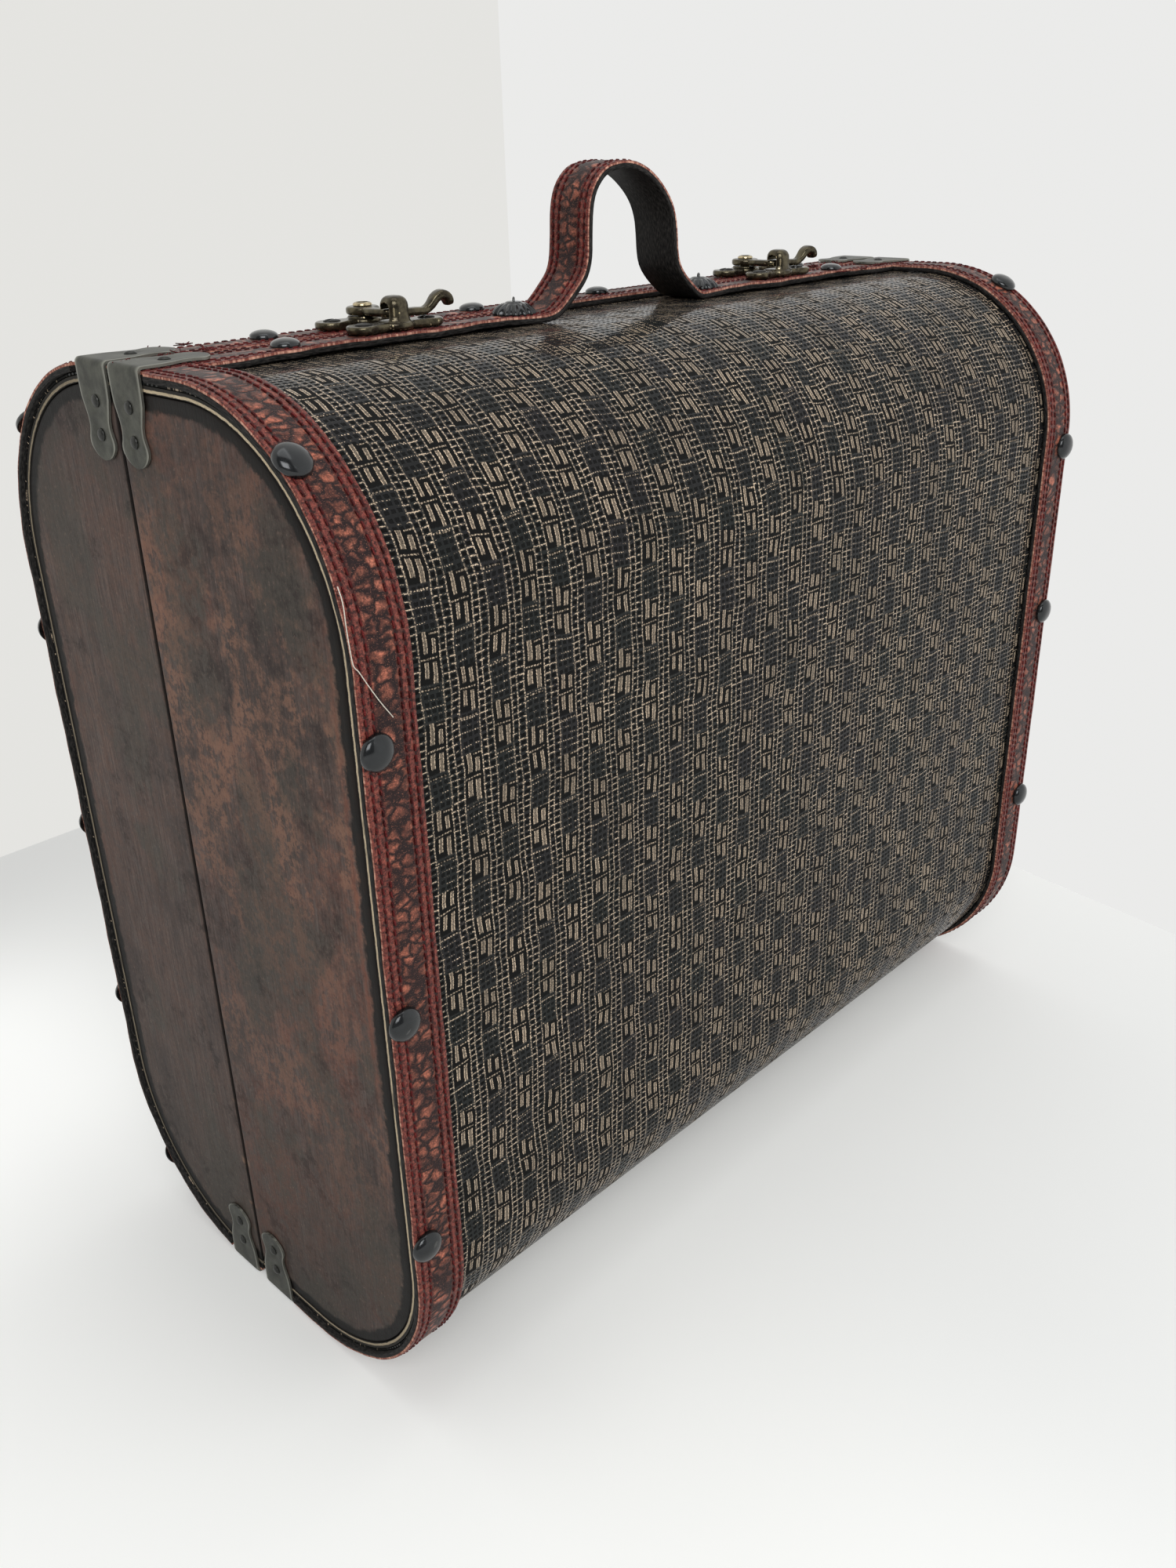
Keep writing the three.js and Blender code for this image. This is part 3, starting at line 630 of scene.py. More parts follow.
class Pile:
    """Points in millimetres, faces with their look, and three wrap values a point."""

    def __init__(self):
        self.points = []
        self.faces = []
        self.looks = []
        self.wrap = []
        self.count = 0

    def add(self, points, faces, looks=0, wrap=None):
        points = np.asarray(points, float).reshape(-1, 3)
        wrap = np.zeros_like(points) if wrap is None else np.asarray(wrap, float).reshape(-1, 3)
        self.points.append(points)
        self.wrap.append(wrap)
        self.faces += [[i + self.count for i in face] for face in faces]
        self.looks += list(looks) if np.ndim(looks) else [looks] * len(faces)
        self.count += len(points)
        return self

    def piece(self, name, looks, body, slot, *nodes, angle=50, recalc=True):
        """Makes the piece, smooth below an angle in degrees. It rides on a body and replaces CAD nodes."""
        mesh = bpy.data.meshes.new(name)
        mesh.from_pydata(to_row(np.concatenate(self.points)).tolist(), [], self.faces)
        for look in looks:
            mesh.materials.append(LOOKS[look])
        mesh.polygons.foreach_set("material_index", np.asarray(self.looks, np.int32))
        attribute = mesh.attributes.new("wrap", "FLOAT_VECTOR", "POINT")
        attribute.data.foreach_set("vector", np.concatenate(self.wrap).astype(np.float32).ravel())
        if recalc:
            turn_outwards(mesh)
        mesh.polygons.foreach_set("use_smooth", np.ones(len(mesh.polygons), bool))
        mesh.set_sharp_from_angle(angle=math.radians(angle))
        obj = placed(name, mesh)
        if nodes:
            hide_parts(*nodes)
        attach(obj, body)


def unit(vectors):
    return vectors / np.linalg.norm(vectors, axis=-1, keepdims=True)


def distances(points):
    """How far along a line each of its points lies."""
    return np.concatenate(([0], np.cumsum(np.linalg.norm(np.diff(points, axis=0), axis=1))))


def between(spot, along, values):
    """Values (n, 3) given along a line, at one spot on it."""
    return np.array([np.interp(spot, along, values[:, k]) for k in range(3)])


def grid_faces(rows, columns, closed=False, start=0):
    """Quads between rows of points that are stored row by row. Closed rows run on to their first point."""
    faces = []
    for i in range(start, start + (rows - 1) * columns, columns):
        for j in range(columns if closed else columns - 1):
            k = (j + 1) % columns
            faces.append([i + j, i + columns + j, i + columns + k, i + k])
    return faces


def closed_faces(rows, columns):
    """The faces of a closed form made of rings of points, with a cap at each end."""
    caps = [list(range(columns)), list(range((rows - 1) * columns, rows * columns))]
    return grid_faces(rows, columns, closed=True) + caps


def smooth_noise(values, wave, seed):
    """Gentle random waves along a line, from -1 to 1."""
    values = np.asarray(values, float)
    local = np.random.default_rng(seed)
    total = np.zeros_like(values)
    for share, length in ((0.5, wave), (0.3, wave * 0.47), (0.2, wave * 0.21)):
        total += share * np.sin(values * math.tau / length + local.uniform(0, math.tau))
    return total


def tray_line(tray, offset, start, step):
    """Points (n, 3) at x = 0 round a tray from the top of the seam to its bottom, their outward normals,
    and the distance along the line at offset 0."""
    arc_y = DEPTHS[tray] - CORNER
    radius = CORNER + offset
    flat = arc_y - start
    turn = math.pi / 2 if flat > 0 else math.acos(-flat / radius)
    top = HEIGHT - CORNER
    straight = top - CORNER

    def bend(angle, centre_z):
        c, s = math.cos(angle), math.sin(angle)
        return arc_y + radius * c, centre_z + radius * s, c, s

    # Each run: its length, the number of its points, and place and normal (y, z) at a share of it
    turn_length = CORNER * turn
    turn_count = int(turn_length / step) + 2
    runs = [
        (turn_length, turn_count, lambda t: bend(turn * (1 - t), top)),
        (straight, int(straight / step) + 2, lambda t: (arc_y + radius, top - straight * t, 1, 0)),
        (turn_length, turn_count, lambda t: bend(-turn * t, CORNER)),
    ]
    if flat > 0:
        count = max(2, int(flat / step) + 1)
        runs.insert(0, (flat, count, lambda t: (start + flat * t, HEIGHT + offset, 0, 1)))
        runs.append((flat, count, lambda t: (arc_y - flat * t, -offset, 0, -1)))
    spots = []
    passed = 0.0
    for length, count, spot in runs:
        spots += [(*spot(t), passed + length * t) for t in np.linspace(0, 1, count)[:-1]]
        passed += length
    spots.append((*runs[-1][2](1), passed))
    y, z, normal_y, normal_z, along = np.array(spots).T
    x = np.zeros_like(y)
    side = SIDES[tray]
    return np.column_stack((x, side * y, z)), np.column_stack((x, side * normal_y, normal_z)), along


def sweep(pile, line, across, a, b, looks, cap_look=None):
    """Adds a section (a across, b along the normal; one row, or a row a point) drawn along a line, which
    is its points, normals and distances."""
    points, normals, along = line
    n = len(points)
    a = np.broadcast_to(a, (n, np.shape(a)[-1]))
    b = np.broadcast_to(b, a.shape)
    place = points[:, None] + a[..., None] * np.array(across) + b[..., None] * normals[:, None]
    wrap = np.stack((a, np.broadcast_to(along[:, None], a.shape), b), -1)
    looks = np.broadcast_to(looks, a.shape[1]).tolist()
    cap = looks[0] if cap_look is None else cap_look
    pile.add(place, closed_faces(*a.shape), looks * (n - 1) + [cap, cap], wrap)


def lathe(profile, steps, ribs=0, rib_depth=0.0, rib_from=0.0):
    """Points and faces of a turned form: profile is (radius, height) from the foot to its tip."""
    angles = np.arange(steps) * math.tau / steps
    rings = []
    for radius, height in profile[:-1]:
        shape = min(1, max(0, radius - rib_from) / 2) * rib_depth
        reach = radius * (1 + shape * (np.cos(angles * ribs) - 1) / 2)
        x, y = reach * np.cos(angles), reach * np.sin(angles)
        rings.append(np.column_stack((x, y, np.full(steps, height))))
    points = np.vstack(rings + [[0, 0, profile[-1][1]]])
    tip = len(points) - 1
    faces = grid_faces(len(rings), steps, closed=True)
    faces += [[tip - steps + j, tip - steps + (j + 1) % steps, tip] for j in range(steps)]
    return points, faces + [list(range(steps))]


def turned(points, normal, spot):
    """Points drawn with +Z up, turned so that +Z is the normal, and moved to a spot."""
    matrix = np.array(Vector((0, 0, 1)).rotation_difference(Vector(normal)).to_matrix())
    return np.asarray(points) @ matrix.T + np.asarray(spot)


def tube(line, radii, sides):
    """A closed round rod along a line."""
    tangents = unit(np.gradient(line, axis=0))
    up = np.array([0, 0, 1.0] if abs(tangents[0][2]) < 0.8 else [1.0, 0, 0])
    angles = np.arange(sides) * math.tau / sides
    rows = []
    for point, tangent, radius in zip(line, tangents, np.broadcast_to(radii, len(line))):
        up = unit(up - tangent * (up @ tangent))
        aside = np.cross(tangent, up)
        rows.append(point + radius * (np.outer(np.cos(angles), up) + np.outer(np.sin(angles), aside)))
    return np.concatenate(rows), closed_faces(len(line), sides)


def arcs(cx, cz, radius, start, end, n):
    angles = np.linspace(start, end, n)
    return np.column_stack((cx + radius * np.cos(angles), cz + radius * np.sin(angles)))


def smooth_line(points, n):
    """A Catmull-Rom curve through the points, of about n points."""
    points = np.asarray(points, float)
    padded = np.vstack((2 * points[0] - points[1], points, 2 * points[-1] - points[-2]))
    out = []
    spans = len(points) - 1
    for k in range(spans):
        p0, p1, p2, p3 = padded[k:k + 4]
        for t in np.linspace(0, 1, max(2, n // spans), endpoint=k == spans - 1):
            bent = (2 * p0 - 5 * p1 + 4 * p2 - p3) * t**2 + (3 * p1 - p0 - 3 * p2 + p3) * t**3
            out.append(0.5 * (2 * p1 + (p2 - p0) * t + bent))
    return np.array(out)


# Bands: two layers with four rows of stitches. Their looks are leatherette, cut edge, backing and thread.
BAND_LOOKS = ["leatherette", "cut_edge", "backing", "thread"]
STITCH_ROWS = [2.1, 4.8]
STITCH_PITCH = 3.15
STITCH_LENGTH = 2.5
STITCH_RADIUS = 0.34
STITCH_SINK = 0.06
CURL_FROM = 6.2
WAVE_HEIGHT = 0.22
# The upper layer from its edge to its middle: the distance from the edge, and the rise over its top
PILLOW = [
    (0, -0.3), (0.25, -0.04), (1.3, 0.02), (2.1, -0.2), (2.9, 0.0), (4.0, -0.02), (4.8, -0.2), (5.6, 0.02),
    (7.5, 0.06), (BAND_WIDTH / 2, 0.08),
]
PILLOW_SINK = 0.05


def front_lift(a, lift):
    """How far a band's front margin curls up at the places a across it, for a lift of its edge."""
    share = np.clip((-np.asarray(a, float) - CURL_FROM) / (BAND_WIDTH / 2 - CURL_FROM), 0, 1)
    return share**1.4 * lift


def stitches(pile, line, across, rows, lift):
    """A row of short threads at each distance across a band."""
    points, normals, along = line
    across = np.asarray(across, float)
    tangents = unit(np.gradient(points, axis=0))
    count = int((along[-1] - along[0]) / STITCH_PITCH)
    reach = np.array([-1, -0.62, 0.62, 1]) * STITCH_LENGTH / 2
    sag = np.array([-0.3, 0.06, 0.06, -0.3])
    size = np.array([0.35, 1, 1, 0.35]) * STITCH_RADIUS
    angles = np.arange(5) * math.tau / 5
    faces = closed_faces(len(reach), len(angles))
    for row in rows:
        at = along[0] + (np.arange(count) + rng.uniform(0.2, 0.8)) * STITCH_PITCH
        at = at + rng.normal(0, 0.12, count)
        side = row + rng.normal(0, 0.1, count) + smooth_noise(at, 60, int(abs(row) * 10)) * 0.15
        skew = rng.normal(0, 0.06, count) + 0.08
        for spot, sideways, tilt in zip(at, side, skew):
            place, normal, tangent = (between(spot, along, values) for values in (points, normals, tangents))
            height = STRAP_TOP - STITCH_SINK + front_lift(row, np.interp(spot, along, lift))
            middle = place + across * sideways + normal * height
            core = middle + np.outer(reach, tangent + across * tilt) + np.outer(sag, normal)
            ring = np.outer(np.cos(angles), across) + np.outer(np.sin(angles), normal)
            pile.add(core[:, None] + ring * size[:, None, None], faces, BAND_LOOKS.index("thread"))


def band(pile, line, across, seed, lift=0.0):
    """A band of two layers with its stitches. lift curls its front margin up."""
    along = line[2]
    half = BAND_WIDTH / 2
    lift = np.broadcast_to(lift, len(along))
    wavy = smooth_noise(along, 70, seed)[:, None] * WAVE_HEIGHT
    wavy_too = smooth_noise(along, 55, seed + 1)[:, None] * WAVE_HEIGHT

    inset, rise = np.array(PILLOW).T
    a = np.concatenate((inset - half, half - inset[-2::-1], [half, -half]))
    b = np.concatenate((rise, rise[-2::-1], [0, 0])) - PILLOW_SINK
    b[:-2] += STRAP_TOP
    b[-2:] += BACKING_TOP
    sideways = np.where(a > 0, wavy, wavy_too) * (np.abs(a) / half) ** 2 - np.sign(a) * WAVE_HEIGHT
    looks = [0] * (len(a) - 3) + [1, 1, 1]
    sweep(pile, line, across, a + sideways, b + front_lift(a, lift[:, None]), looks, 1)

    a = np.array([-half, -half, 0.2 - half, half - 0.2, half, half, half - 0.15, 0.15 - half])
    rounded = BACKING_TOP - 0.2
    b = [0.45, rounded, BACKING_TOP, BACKING_TOP, rounded, 0.45, BAND_FOOT, BAND_FOOT]
    sideways = np.where(a > 0, wavy, wavy_too) * 0.8
    sweep(pile, line, across, a + sideways, b + front_lift(a, lift[:, None]), 2)
    rows = [inset - half for inset in STITCH_ROWS] + [half - inset for inset in STITCH_ROWS[::-1]]
    stitches(pile, line, across, rows, lift)


def line_of(flat, y):
    """Points, normals and distances along a line given as (x, z)."""
    flat = np.asarray(flat, float)
    along = distances(flat)
    even = np.linspace(0, along[-1], int(along[-1] / 2.2) + 2)
    x = np.interp(even, along, flat[:, 0])
    z = np.interp(even, along, flat[:, 1])
    tangent = unit(np.gradient(np.column_stack((x, z)), axis=0))
    normals = np.column_stack((-tangent[:, 1], np.zeros_like(x), tangent[:, 0]))
    return np.column_stack((x, np.full_like(x, y), z)), normals, even


# Trays

ALONG_WIDTH = (1, 0, 0)
ALONG_DEPTH = (0, 1, 0)
# Depths in the board at which its raw edge has points
BOARD_LAYERS = np.array([0, 0.3, 0.6, 0.9, 1.2, 1.6, BOARD_THICKNESS])
# Rings of an end panel, as inset and depth under its face: its back, its rounded arris and the painted rim
PANEL_RINGS = [
    (0, PANEL_THICKNESS), (0, 0.75), (0.12, 0.4), (0.38, 0.14), (0.8, 0), (2.5, 0), (4, 0), (6, 0), (9, 0),
    (14, 0),
]


def shell(tray):
    """The vinyl cover and the bent board under it."""
    line = tray_line(tray, 0, SEAM, 2.5)
    pile = Pile()
    b = [-COVER_THICKNESS, 0.0, 0.0, -COVER_THICKNESS]
    sweep(pile, line, ALONG_WIDTH, [-END, -END, END, END], b, 0)
    pile.piece(f"{tray}_cover_vinyl", [f"{tray}_vinyl"], tray, "embossed_vinyl", f"{tray}_cover")

    pile = Pile()
    b = -(COVER_THICKNESS + FIT + BOARD_LAYERS)
    a = np.full(len(b), -END + 0.02)
    sweep(pile, line, ALONG_WIDTH, np.concatenate((a, -a)), np.concatenate((b, b[::-1])), 0)
    pile.piece(f"{tray}_bent_board", [f"{tray}_board"], tray, "bent_board", f"{tray}_skin")


def rim_distance(tray, y, z):
    """How far inside the board's inner face a point (y, z) lies."""
    over_y = np.abs(y) - (DEPTHS[tray] - CORNER)
    over_z = np.abs(z - HEIGHT / 2) - (HEIGHT / 2 - CORNER)
    inside = np.minimum(np.maximum(over_y, over_z), 0)
    return CORNER + PANEL_OFFSET - np.hypot(np.maximum(over_y, 0), np.maximum(over_z, 0)) - inside


def panel(tray, end):
    """An end panel with a rounded arris, and rings of points for the painted rim."""
    rings = []
    for inset, sunk in PANEL_RINGS:
        points, _, _ = tray_line(tray, PANEL_OFFSET - inset, SEAM, 3.0)
        points[:, 1] = SIDES[tray] * np.maximum(np.abs(points[:, 1]), SEAM + 0.05 + inset)
        points[:, 0] = ENDS[end] * (END - sunk)
        seam = np.linspace(points[-1], points[0], 26)[1:-1]
        rings.append(np.vstack((points, seam)))
    m = len(rings[0])
    stack = np.concatenate(rings)
    far = rim_distance(tray, stack[:, 1], stack[:, 2])
    far[:m] = CORNER
    wrap = np.column_stack((far, np.abs(stack[:, 1]), stack[:, 2]))
    pile = Pile().add(stack, closed_faces(len(rings), m), 0, wrap)
    name = f"{tray}_{end}_end_board"
    pile.piece(name, [f"{tray}_wood"], tray, "stained_wood", f"{tray}_{end}_panel", angle=40)


def tray_lining(tray):
    """The cloth lining, with faint ripples on its inner face."""
    line = tray_line(tray, PANEL_OFFSET, SEAM + BATTEN_DEPTH + FIT, 4.0)
    along = line[2]
    x = np.linspace(-1, 1, 40) * (END - PANEL_THICKNESS - FIT)
    ripple = np.array([smooth_noise(along + k * 9, 46, 30 + k) for k in range(4)])
    weight = np.abs(np.sin(np.outer(np.linspace(0, math.pi * 4, len(x)), [1, 0.7, 0.4, 0.2]) + [0, 1, 2, 3]))
    inner = (weight @ ripple).T * 0.06 - LINING_THICKNESS
    b = np.concatenate((np.zeros_like(inner), inner[:, ::-1]), axis=1)
    pile = Pile()
    sweep(pile, line, ALONG_WIDTH, np.concatenate((x, x[::-1])), b, 0)
    pile.piece(f"{tray}_lining_cloth", ["lining"], tray, "lining_cloth", f"{tray}_lining", angle=60)


def dome_profile(radius, height, foot):
    """A domed head with a thin rounded rim."""
    rows = [(radius - 0.5, -foot), (radius - 0.1, -foot), (radius, 0.22 - foot), (radius - 0.08, 0.34)]
    for angle in np.linspace(0.16, 1, 9) * math.pi / 2:
        rows.append((radius * math.cos(angle), 0.3 + (height - 0.3) * math.sin(angle)))
    return rows


def stud(name, spot, normal, body, *nodes, size=STRAP_STUD):
    """A slightly uneven domed nail head, seated on the band's face."""
    points, faces = lathe(dome_profile(*size, 0.32), 36)
    dent = rng.uniform(-1, 1, 2)
    tilt = rng.normal(0, 0.02, 2)
    points[:, 2] += points[:, :2] @ tilt
    reach = np.linalg.norm(points[:, :2] - dent * 2, axis=1)
    points[:, 2] -= 0.07 * np.exp(-(reach / 1.6) ** 2) * (points[:, 2] > 0.5)
    pile = Pile().add(turned(points, normal, spot), faces)
    pile.piece(name, ["gunmetal"], body, "dark_metal", *nodes, angle=60)


def edge_strips(tray):
    """The strips round the ends of a tray, and their studs."""
    foot_points, foot_normals, _ = tray_line(tray, STUD_FOOT, STRAP_FAR + FIT, 1.0)
    foot_along = distances(foot_points)
    for index, (end, sign) in enumerate(ENDS.items()):
        points, normals, along = tray_line(tray, 0, STRAP_FAR + FIT, 2.4)
        points[:, 0] = sign * (END + STRIP_OVERHANG - BAND_WIDTH / 2)
        pile = Pile()
        seed = 40 + index * 7 + (tray == "lid") * 3
        band(pile, (points, normals, along), ALONG_WIDTH, seed)
        pile.piece(f"{tray}_{end}_edge_band", BAND_LOOKS, tray, "strap_leather", f"{tray}_{end}_edge_strip")
        shares = EDGE_STUD_SHARES[end] if tray == "base" else LID_EDGE_STUD_SHARES
        for i, share in enumerate(shares, 1):
            at = share * foot_along[-1]
            spot = between(at, foot_along, foot_points) + [sign * EDGE_STUD_X, 0, 0]
            normal = between(at, foot_along, foot_normals)
            nodes = [f"{end}_edge_stud_{i}"] if tray == "base" else []
            stud(f"{tray}_{end}_edge_nail_{i}", spot, normal, tray, *nodes, size=EDGE_STUD)


# Where the handle strap's front margin curls up: from the handle's feet, and up to the corner plates
CURL_NEAR = (46, 14)
CURL_FAR = (164, 12)


def top_straps():
    """The front tray's strap, which rises into the handle, and the lid's strap, with their studs."""
    arch = np.vstack(([[-END, 0]], smooth_line(HANDLE_ARCH, 96), [[END, 0]])) + [0, HEIGHT + STRAP_CORE]
    points, normals, along = line_of(arch, -STRAP_MIDDLE)
    reach = np.abs(points[:, 0])
    curl = np.clip((reach - CURL_NEAR[0]) / CURL_NEAR[1], 0, 1)
    curl = curl * np.clip((CURL_FAR[0] - reach) / CURL_FAR[1], 0, 1)
    curl = curl * (0.75 + 0.4 * smooth_noise(points[:, 0], 63, 88))
    pile = Pile()
    band(pile, (points - normals * STRAP_CORE, normals, along), ALONG_DEPTH, 61, curl)
    pile.piece("handle_band", BAND_LOOKS, "base", "strap_leather", "handle_strap")

    pile = Pile()
    band(pile, line_of([[-END, HEIGHT], [END, HEIGHT]], STRAP_MIDDLE), ALONG_DEPTH, 67)
    drop_on_crown(pile, 1)
    pile.piece("lid_top_band", BAND_LOOKS, "lid", "strap_leather", "lid_top_strap")

    for tray, shares in STRAP_STUD_SHARES.items():
        for i, share in enumerate(shares, 1):
            spot = (share * END, SIDES[tray] * STRAP_MIDDLE, HEIGHT + STUD_FOOT)
            stud(f"{tray}_strap_nail_{i}", spot, (0, 0, 1), tray, f"{tray}_strap_stud_{i}")


def drop_on_crown(pile, up):
    """Bends the lid's strap over the start of its rounded corner."""
    start = DEPTHS["lid"] - CORNER
    for block in pile.points:
        over = np.maximum(np.abs(block[:, 1]) - start, 0)
        block[:, 2] -= up * (CORNER - np.sqrt(np.maximum(CORNER**2 - over**2, 0)))


def bottom_straps():
    """The straps under the case, which are narrow beside the hinges."""
    narrow = STRAP_FAR - HINGE_NOTCH_REACH
    a = np.array([-narrow, -narrow, narrow, narrow]) / 2
    notches = [x + side * HINGE_NOTCH_HALF for x in HINGES.values() for side in (-1, 1)]
    cuts = [-END, *notches, END]
    top = STRAP_TOP - 0.05
    for tray, side in SIDES.items():
        pile = Pile()
        for i in (0, 2, 4):
            line = line_of([[cuts[i + 1], 0], [cuts[i], 0]], side * STRAP_MIDDLE)
            band(pile, line, ALONG_DEPTH, 70 + i)
        for i in (1, 3):
            ends = [[cuts[i + 1] + 0.2, 0], [cuts[i] - 0.2, 0]]
            line = line_of(ends, side * (STRAP_FAR - narrow / 2))
            sweep(pile, line, ALONG_DEPTH, a, [BAND_FOOT, BACKING_TOP, BACKING_TOP, BAND_FOOT], 2)
            sweep(pile, line, ALONG_DEPTH, a * 0.97, [BACKING_TOP, top, top, BACKING_TOP], [1, 0, 1, 1])
        if tray == "lid":
            drop_on_crown(pile, -1)
        pile.piece(f"{tray}_bottom_band", BAND_LOOKS, tray, "strap_leather", f"{tray}_bottom_strap")


CONCHO_PROFILE = [
    (7.1, -0.25), (7.7, -0.2), (7.8, 0.1), (7.7, 0.5), (7.2, 1.3), (6.4, 2.1), (5.3, 2.85), (4.0, 3.4),
    (3.1, 3.6), (2.8, 3.85), (2.2, 4.05), (1.2, 4.12), (0, 4.15),
]
CONCHO_RIBS = 14
LOOP_HEADING = 0.9


def conchos():
    """Ribbed domes at the handle's feet, each with a small wire loop on top."""
    for end, x in CONCHOS.items():
        spot = (x, -STRAP_MIDDLE, HEIGHT + STUD_FOOT)
        points, faces = lathe(CONCHO_PROFILE, CONCHO_RIBS * 12, CONCHO_RIBS, 0.13, 2.9)
        pile = Pile().add(points + spot, faces)
        out, up = arcs(0, 3.95, 1.2, -0.2, math.pi + 0.2, 18).T
        line = np.column_stack((out * math.cos(LOOP_HEADING), out * math.sin(LOOP_HEADING), up))
        pile.add(*tube(line + spot, 0.4, 8))
        pile.piece(f"{end}_ribbed_dome", ["gunmetal"], "base", "dark_metal", f"{end}_concho", angle=40)


# Corner plates: half of the width as a share, along each leg from the bend to its tip
PLATE_OUTLINE = [
    (0, 1), (0.2, 0.99), (0.34, 0.95), (0.46, 0.82), (0.56, 0.71), (0.64, 0.69), (0.71, 0.74), (0.77, 0.83),
    (0.82, 0.86), (0.87, 0.8), (0.92, 0.66), (0.96, 0.48), (0.985, 0.3), (0.997, 0.14), (1, 0.02),
]
PLATE_HALF = 8.5
PLATE_BEND = 1.7
PLATE_BEND_LENGTH = PLATE_BEND * math.pi / 2
PLATE_OUTER = END + FIT + PLATE_THICKNESS
STRAP_LEG = 27 - PLATE_BEND
END_LEG = 29 - PLATE_BEND
PLATE_ROWS = 15
STRAP_NAIL = 13.5
END_NAILS = [11.9, 21.6]
DIMPLE_RADIUS = 2.6
NAIL_PROFILE = [(1.5, -0.4), (1.85, 0.0), (1.9, 0.2), (1.7, 0.5), (1.2, 0.8), (0.6, 0.93), (0, 0.96)]
TOP_PLATE_Y = 9.5
BOTTOM_PLATE_Y = 11.5


def plate_frame(station):
    """The share of the leg, the place and the normal at a distance along a plate from the start of its
    bend, where the strap's leg is below 0. The plate is drawn at the right end, on top."""
    if station <= 0:
        return -station / STRAP_LEG, [PLATE_OUTER - PLATE_BEND + station, 0, PLATE_TOP], [0, 0, 1.0]
    down = station - PLATE_BEND_LENGTH
    if down >= 0:
        return down / END_LEG, [PLATE_OUTER, 0, PLATE_TOP - PLATE_BEND - down], [1.0, 0, 0]
    angle = math.pi / 2 - station / PLATE_BEND
    normal = np.array([math.cos(angle), 0, math.sin(angle)])
    return 0, normal * PLATE_BEND + [PLATE_OUTER - PLATE_BEND, 0, PLATE_TOP - PLATE_BEND], normal


def corner_plate(tray, end, face, nails):
    """A bent sheet with a lobe on each leg, dimples and nails, which are given as places along it."""
    bends = np.linspace(0, PLATE_BEND_LENGTH, 8)[1:-1]
    strap_leg = -STRAP_LEG * np.sin(np.linspace(math.pi / 2, 0, 26))
    end_leg = PLATE_BEND_LENGTH + END_LEG * np.sin(np.linspace(0, math.pi / 2, 28))
    stations = np.concatenate((strap_leg, bends, end_leg))
    v = np.linspace(-1, 1, PLATE_ROWS)
    edge = np.maximum(0, np.abs(v) - 0.86) / 0.14
    top = []
    bottom = []
    for station in stations:
        share, spot, normal = plate_frame(station)
        y = v * PLATE_HALF * np.interp(share, *zip(*PLATE_OUTLINE))
        reaches = [np.hypot(station - nail, y) for nail in nails]
        dip = sum(-0.5 * np.exp(-((reach / DIMPLE_RADIUS) ** 2)) for reach in reaches)
        row = spot + np.outer(y, [0, 1, 0])
        top.append(row + np.outer(dip - 0.14 * edge**2, normal))
        bottom.append(row + np.outer(np.maximum(dip, -0.25) - PLATE_THICKNESS, normal))
    n = len(stations)
    count = n * PLATE_ROWS
    grid = np.arange(count).reshape(n, PLATE_ROWS)
    loop = [*grid[0], *grid[1:, -1], *grid[-1, -2::-1], *grid[-2:0:-1, 0]]
    faces = grid_faces(n, PLATE_ROWS) + [f[::-1] for f in grid_faces(n, PLATE_ROWS, start=count)]
    faces += [[i, k, k + count, i + count] for i, k in zip(loop, loop[1:] + loop[:1])]
    blocks = [(np.concatenate(top + bottom), faces)]
    head, head_faces = lathe(NAIL_PROFILE, 24)
    for nail in nails:
        _, spot, normal = plate_frame(nail)
        blocks.append((turned(head, normal, np.array(spot) - 0.3 * np.array(normal)), head_faces))
    pile = Pile()
    flip, middle = ([1, HEIGHT], TOP_PLATE_Y) if face == "top" else ([-1, 0], BOTTOM_PLATE_Y)
    for look, (points, block_faces) in enumerate(blocks):
        points = points * [ENDS[end], 1, flip[0]] + [0, SIDES[tray] * middle, flip[1]]
        pile.add(points, block_faces, min(look, 1))
    name = f"{tray}_{end}_{face}"
    pile.piece(f"{name}_corner", ["steel", "nail"], tray, "dull_steel", f"{name}_plate", angle=35)


def corner_plates():
    strap_nail = PLATE_BEND - STRAP_NAIL
    end_nails = [PLATE_BEND_LENGTH + nail - PLATE_BEND for nail in END_NAILS]
    for tray in SIDES:
        for end in ENDS:
            for face, nails in (("top", [strap_nail] + end_nails), ("bottom", end_nails)):
                corner_plate(tray, end, face, nails)


# Latches. A level of a form is its height and how far its ring lies inwards.

CAST_VOXEL = 0.2
LATCH_SCREW_X = 12.9
KEEPER_SCREW_SPINS = {-1: 0.7, 1: 2.1}
PIVOT_SCREW_SPINS = {-1: 1.9, 1: 0.4}
SCREW_PROFILE = [
    (2.2, -0.5), (2.75, -0.3), (2.9, 0.0), (2.75, 0.25), (2.2, 0.48), (1.4, 0.62), (0.5, 0.68), (0, 0.68),
]
HOOD_LEVELS = [
    (1.2, -1.1), (2.3, -0.85), (3.0, -0.4), (4.0, -0.08), (5.4, 0.0), (7.4, 0.02), (8.4, 0.18), (9.2, 0.6),
    (9.85, 1.25), (10.25, 2.1), (10.4, 3.0),
]
HOOD_RADIUS = 3.4
TUNNEL = [(-9, -1.9), (9, -1.9), (9, 9), (-9, 9)]
TUNNEL_CROWN = [(-9, 0.4, 6.1), (0, 0.4, 6.1), (9, 0.4, 6.1)]
BOSS_PROFILE = [(5.2, 1.0), (5.2, 3.0), (5.0, 3.2), (0, 3.2)]
RIVET_PROFILE = [
    (1.9, 3.2), (1.9, 6.15), (3.0, 6.15), (3.2, 6.4), (3.1, 6.85), (2.6, 7.2), (2.1, 7.3), (1.9, 7.1),
    (1.0, 7.05), (0, 7.05),
]
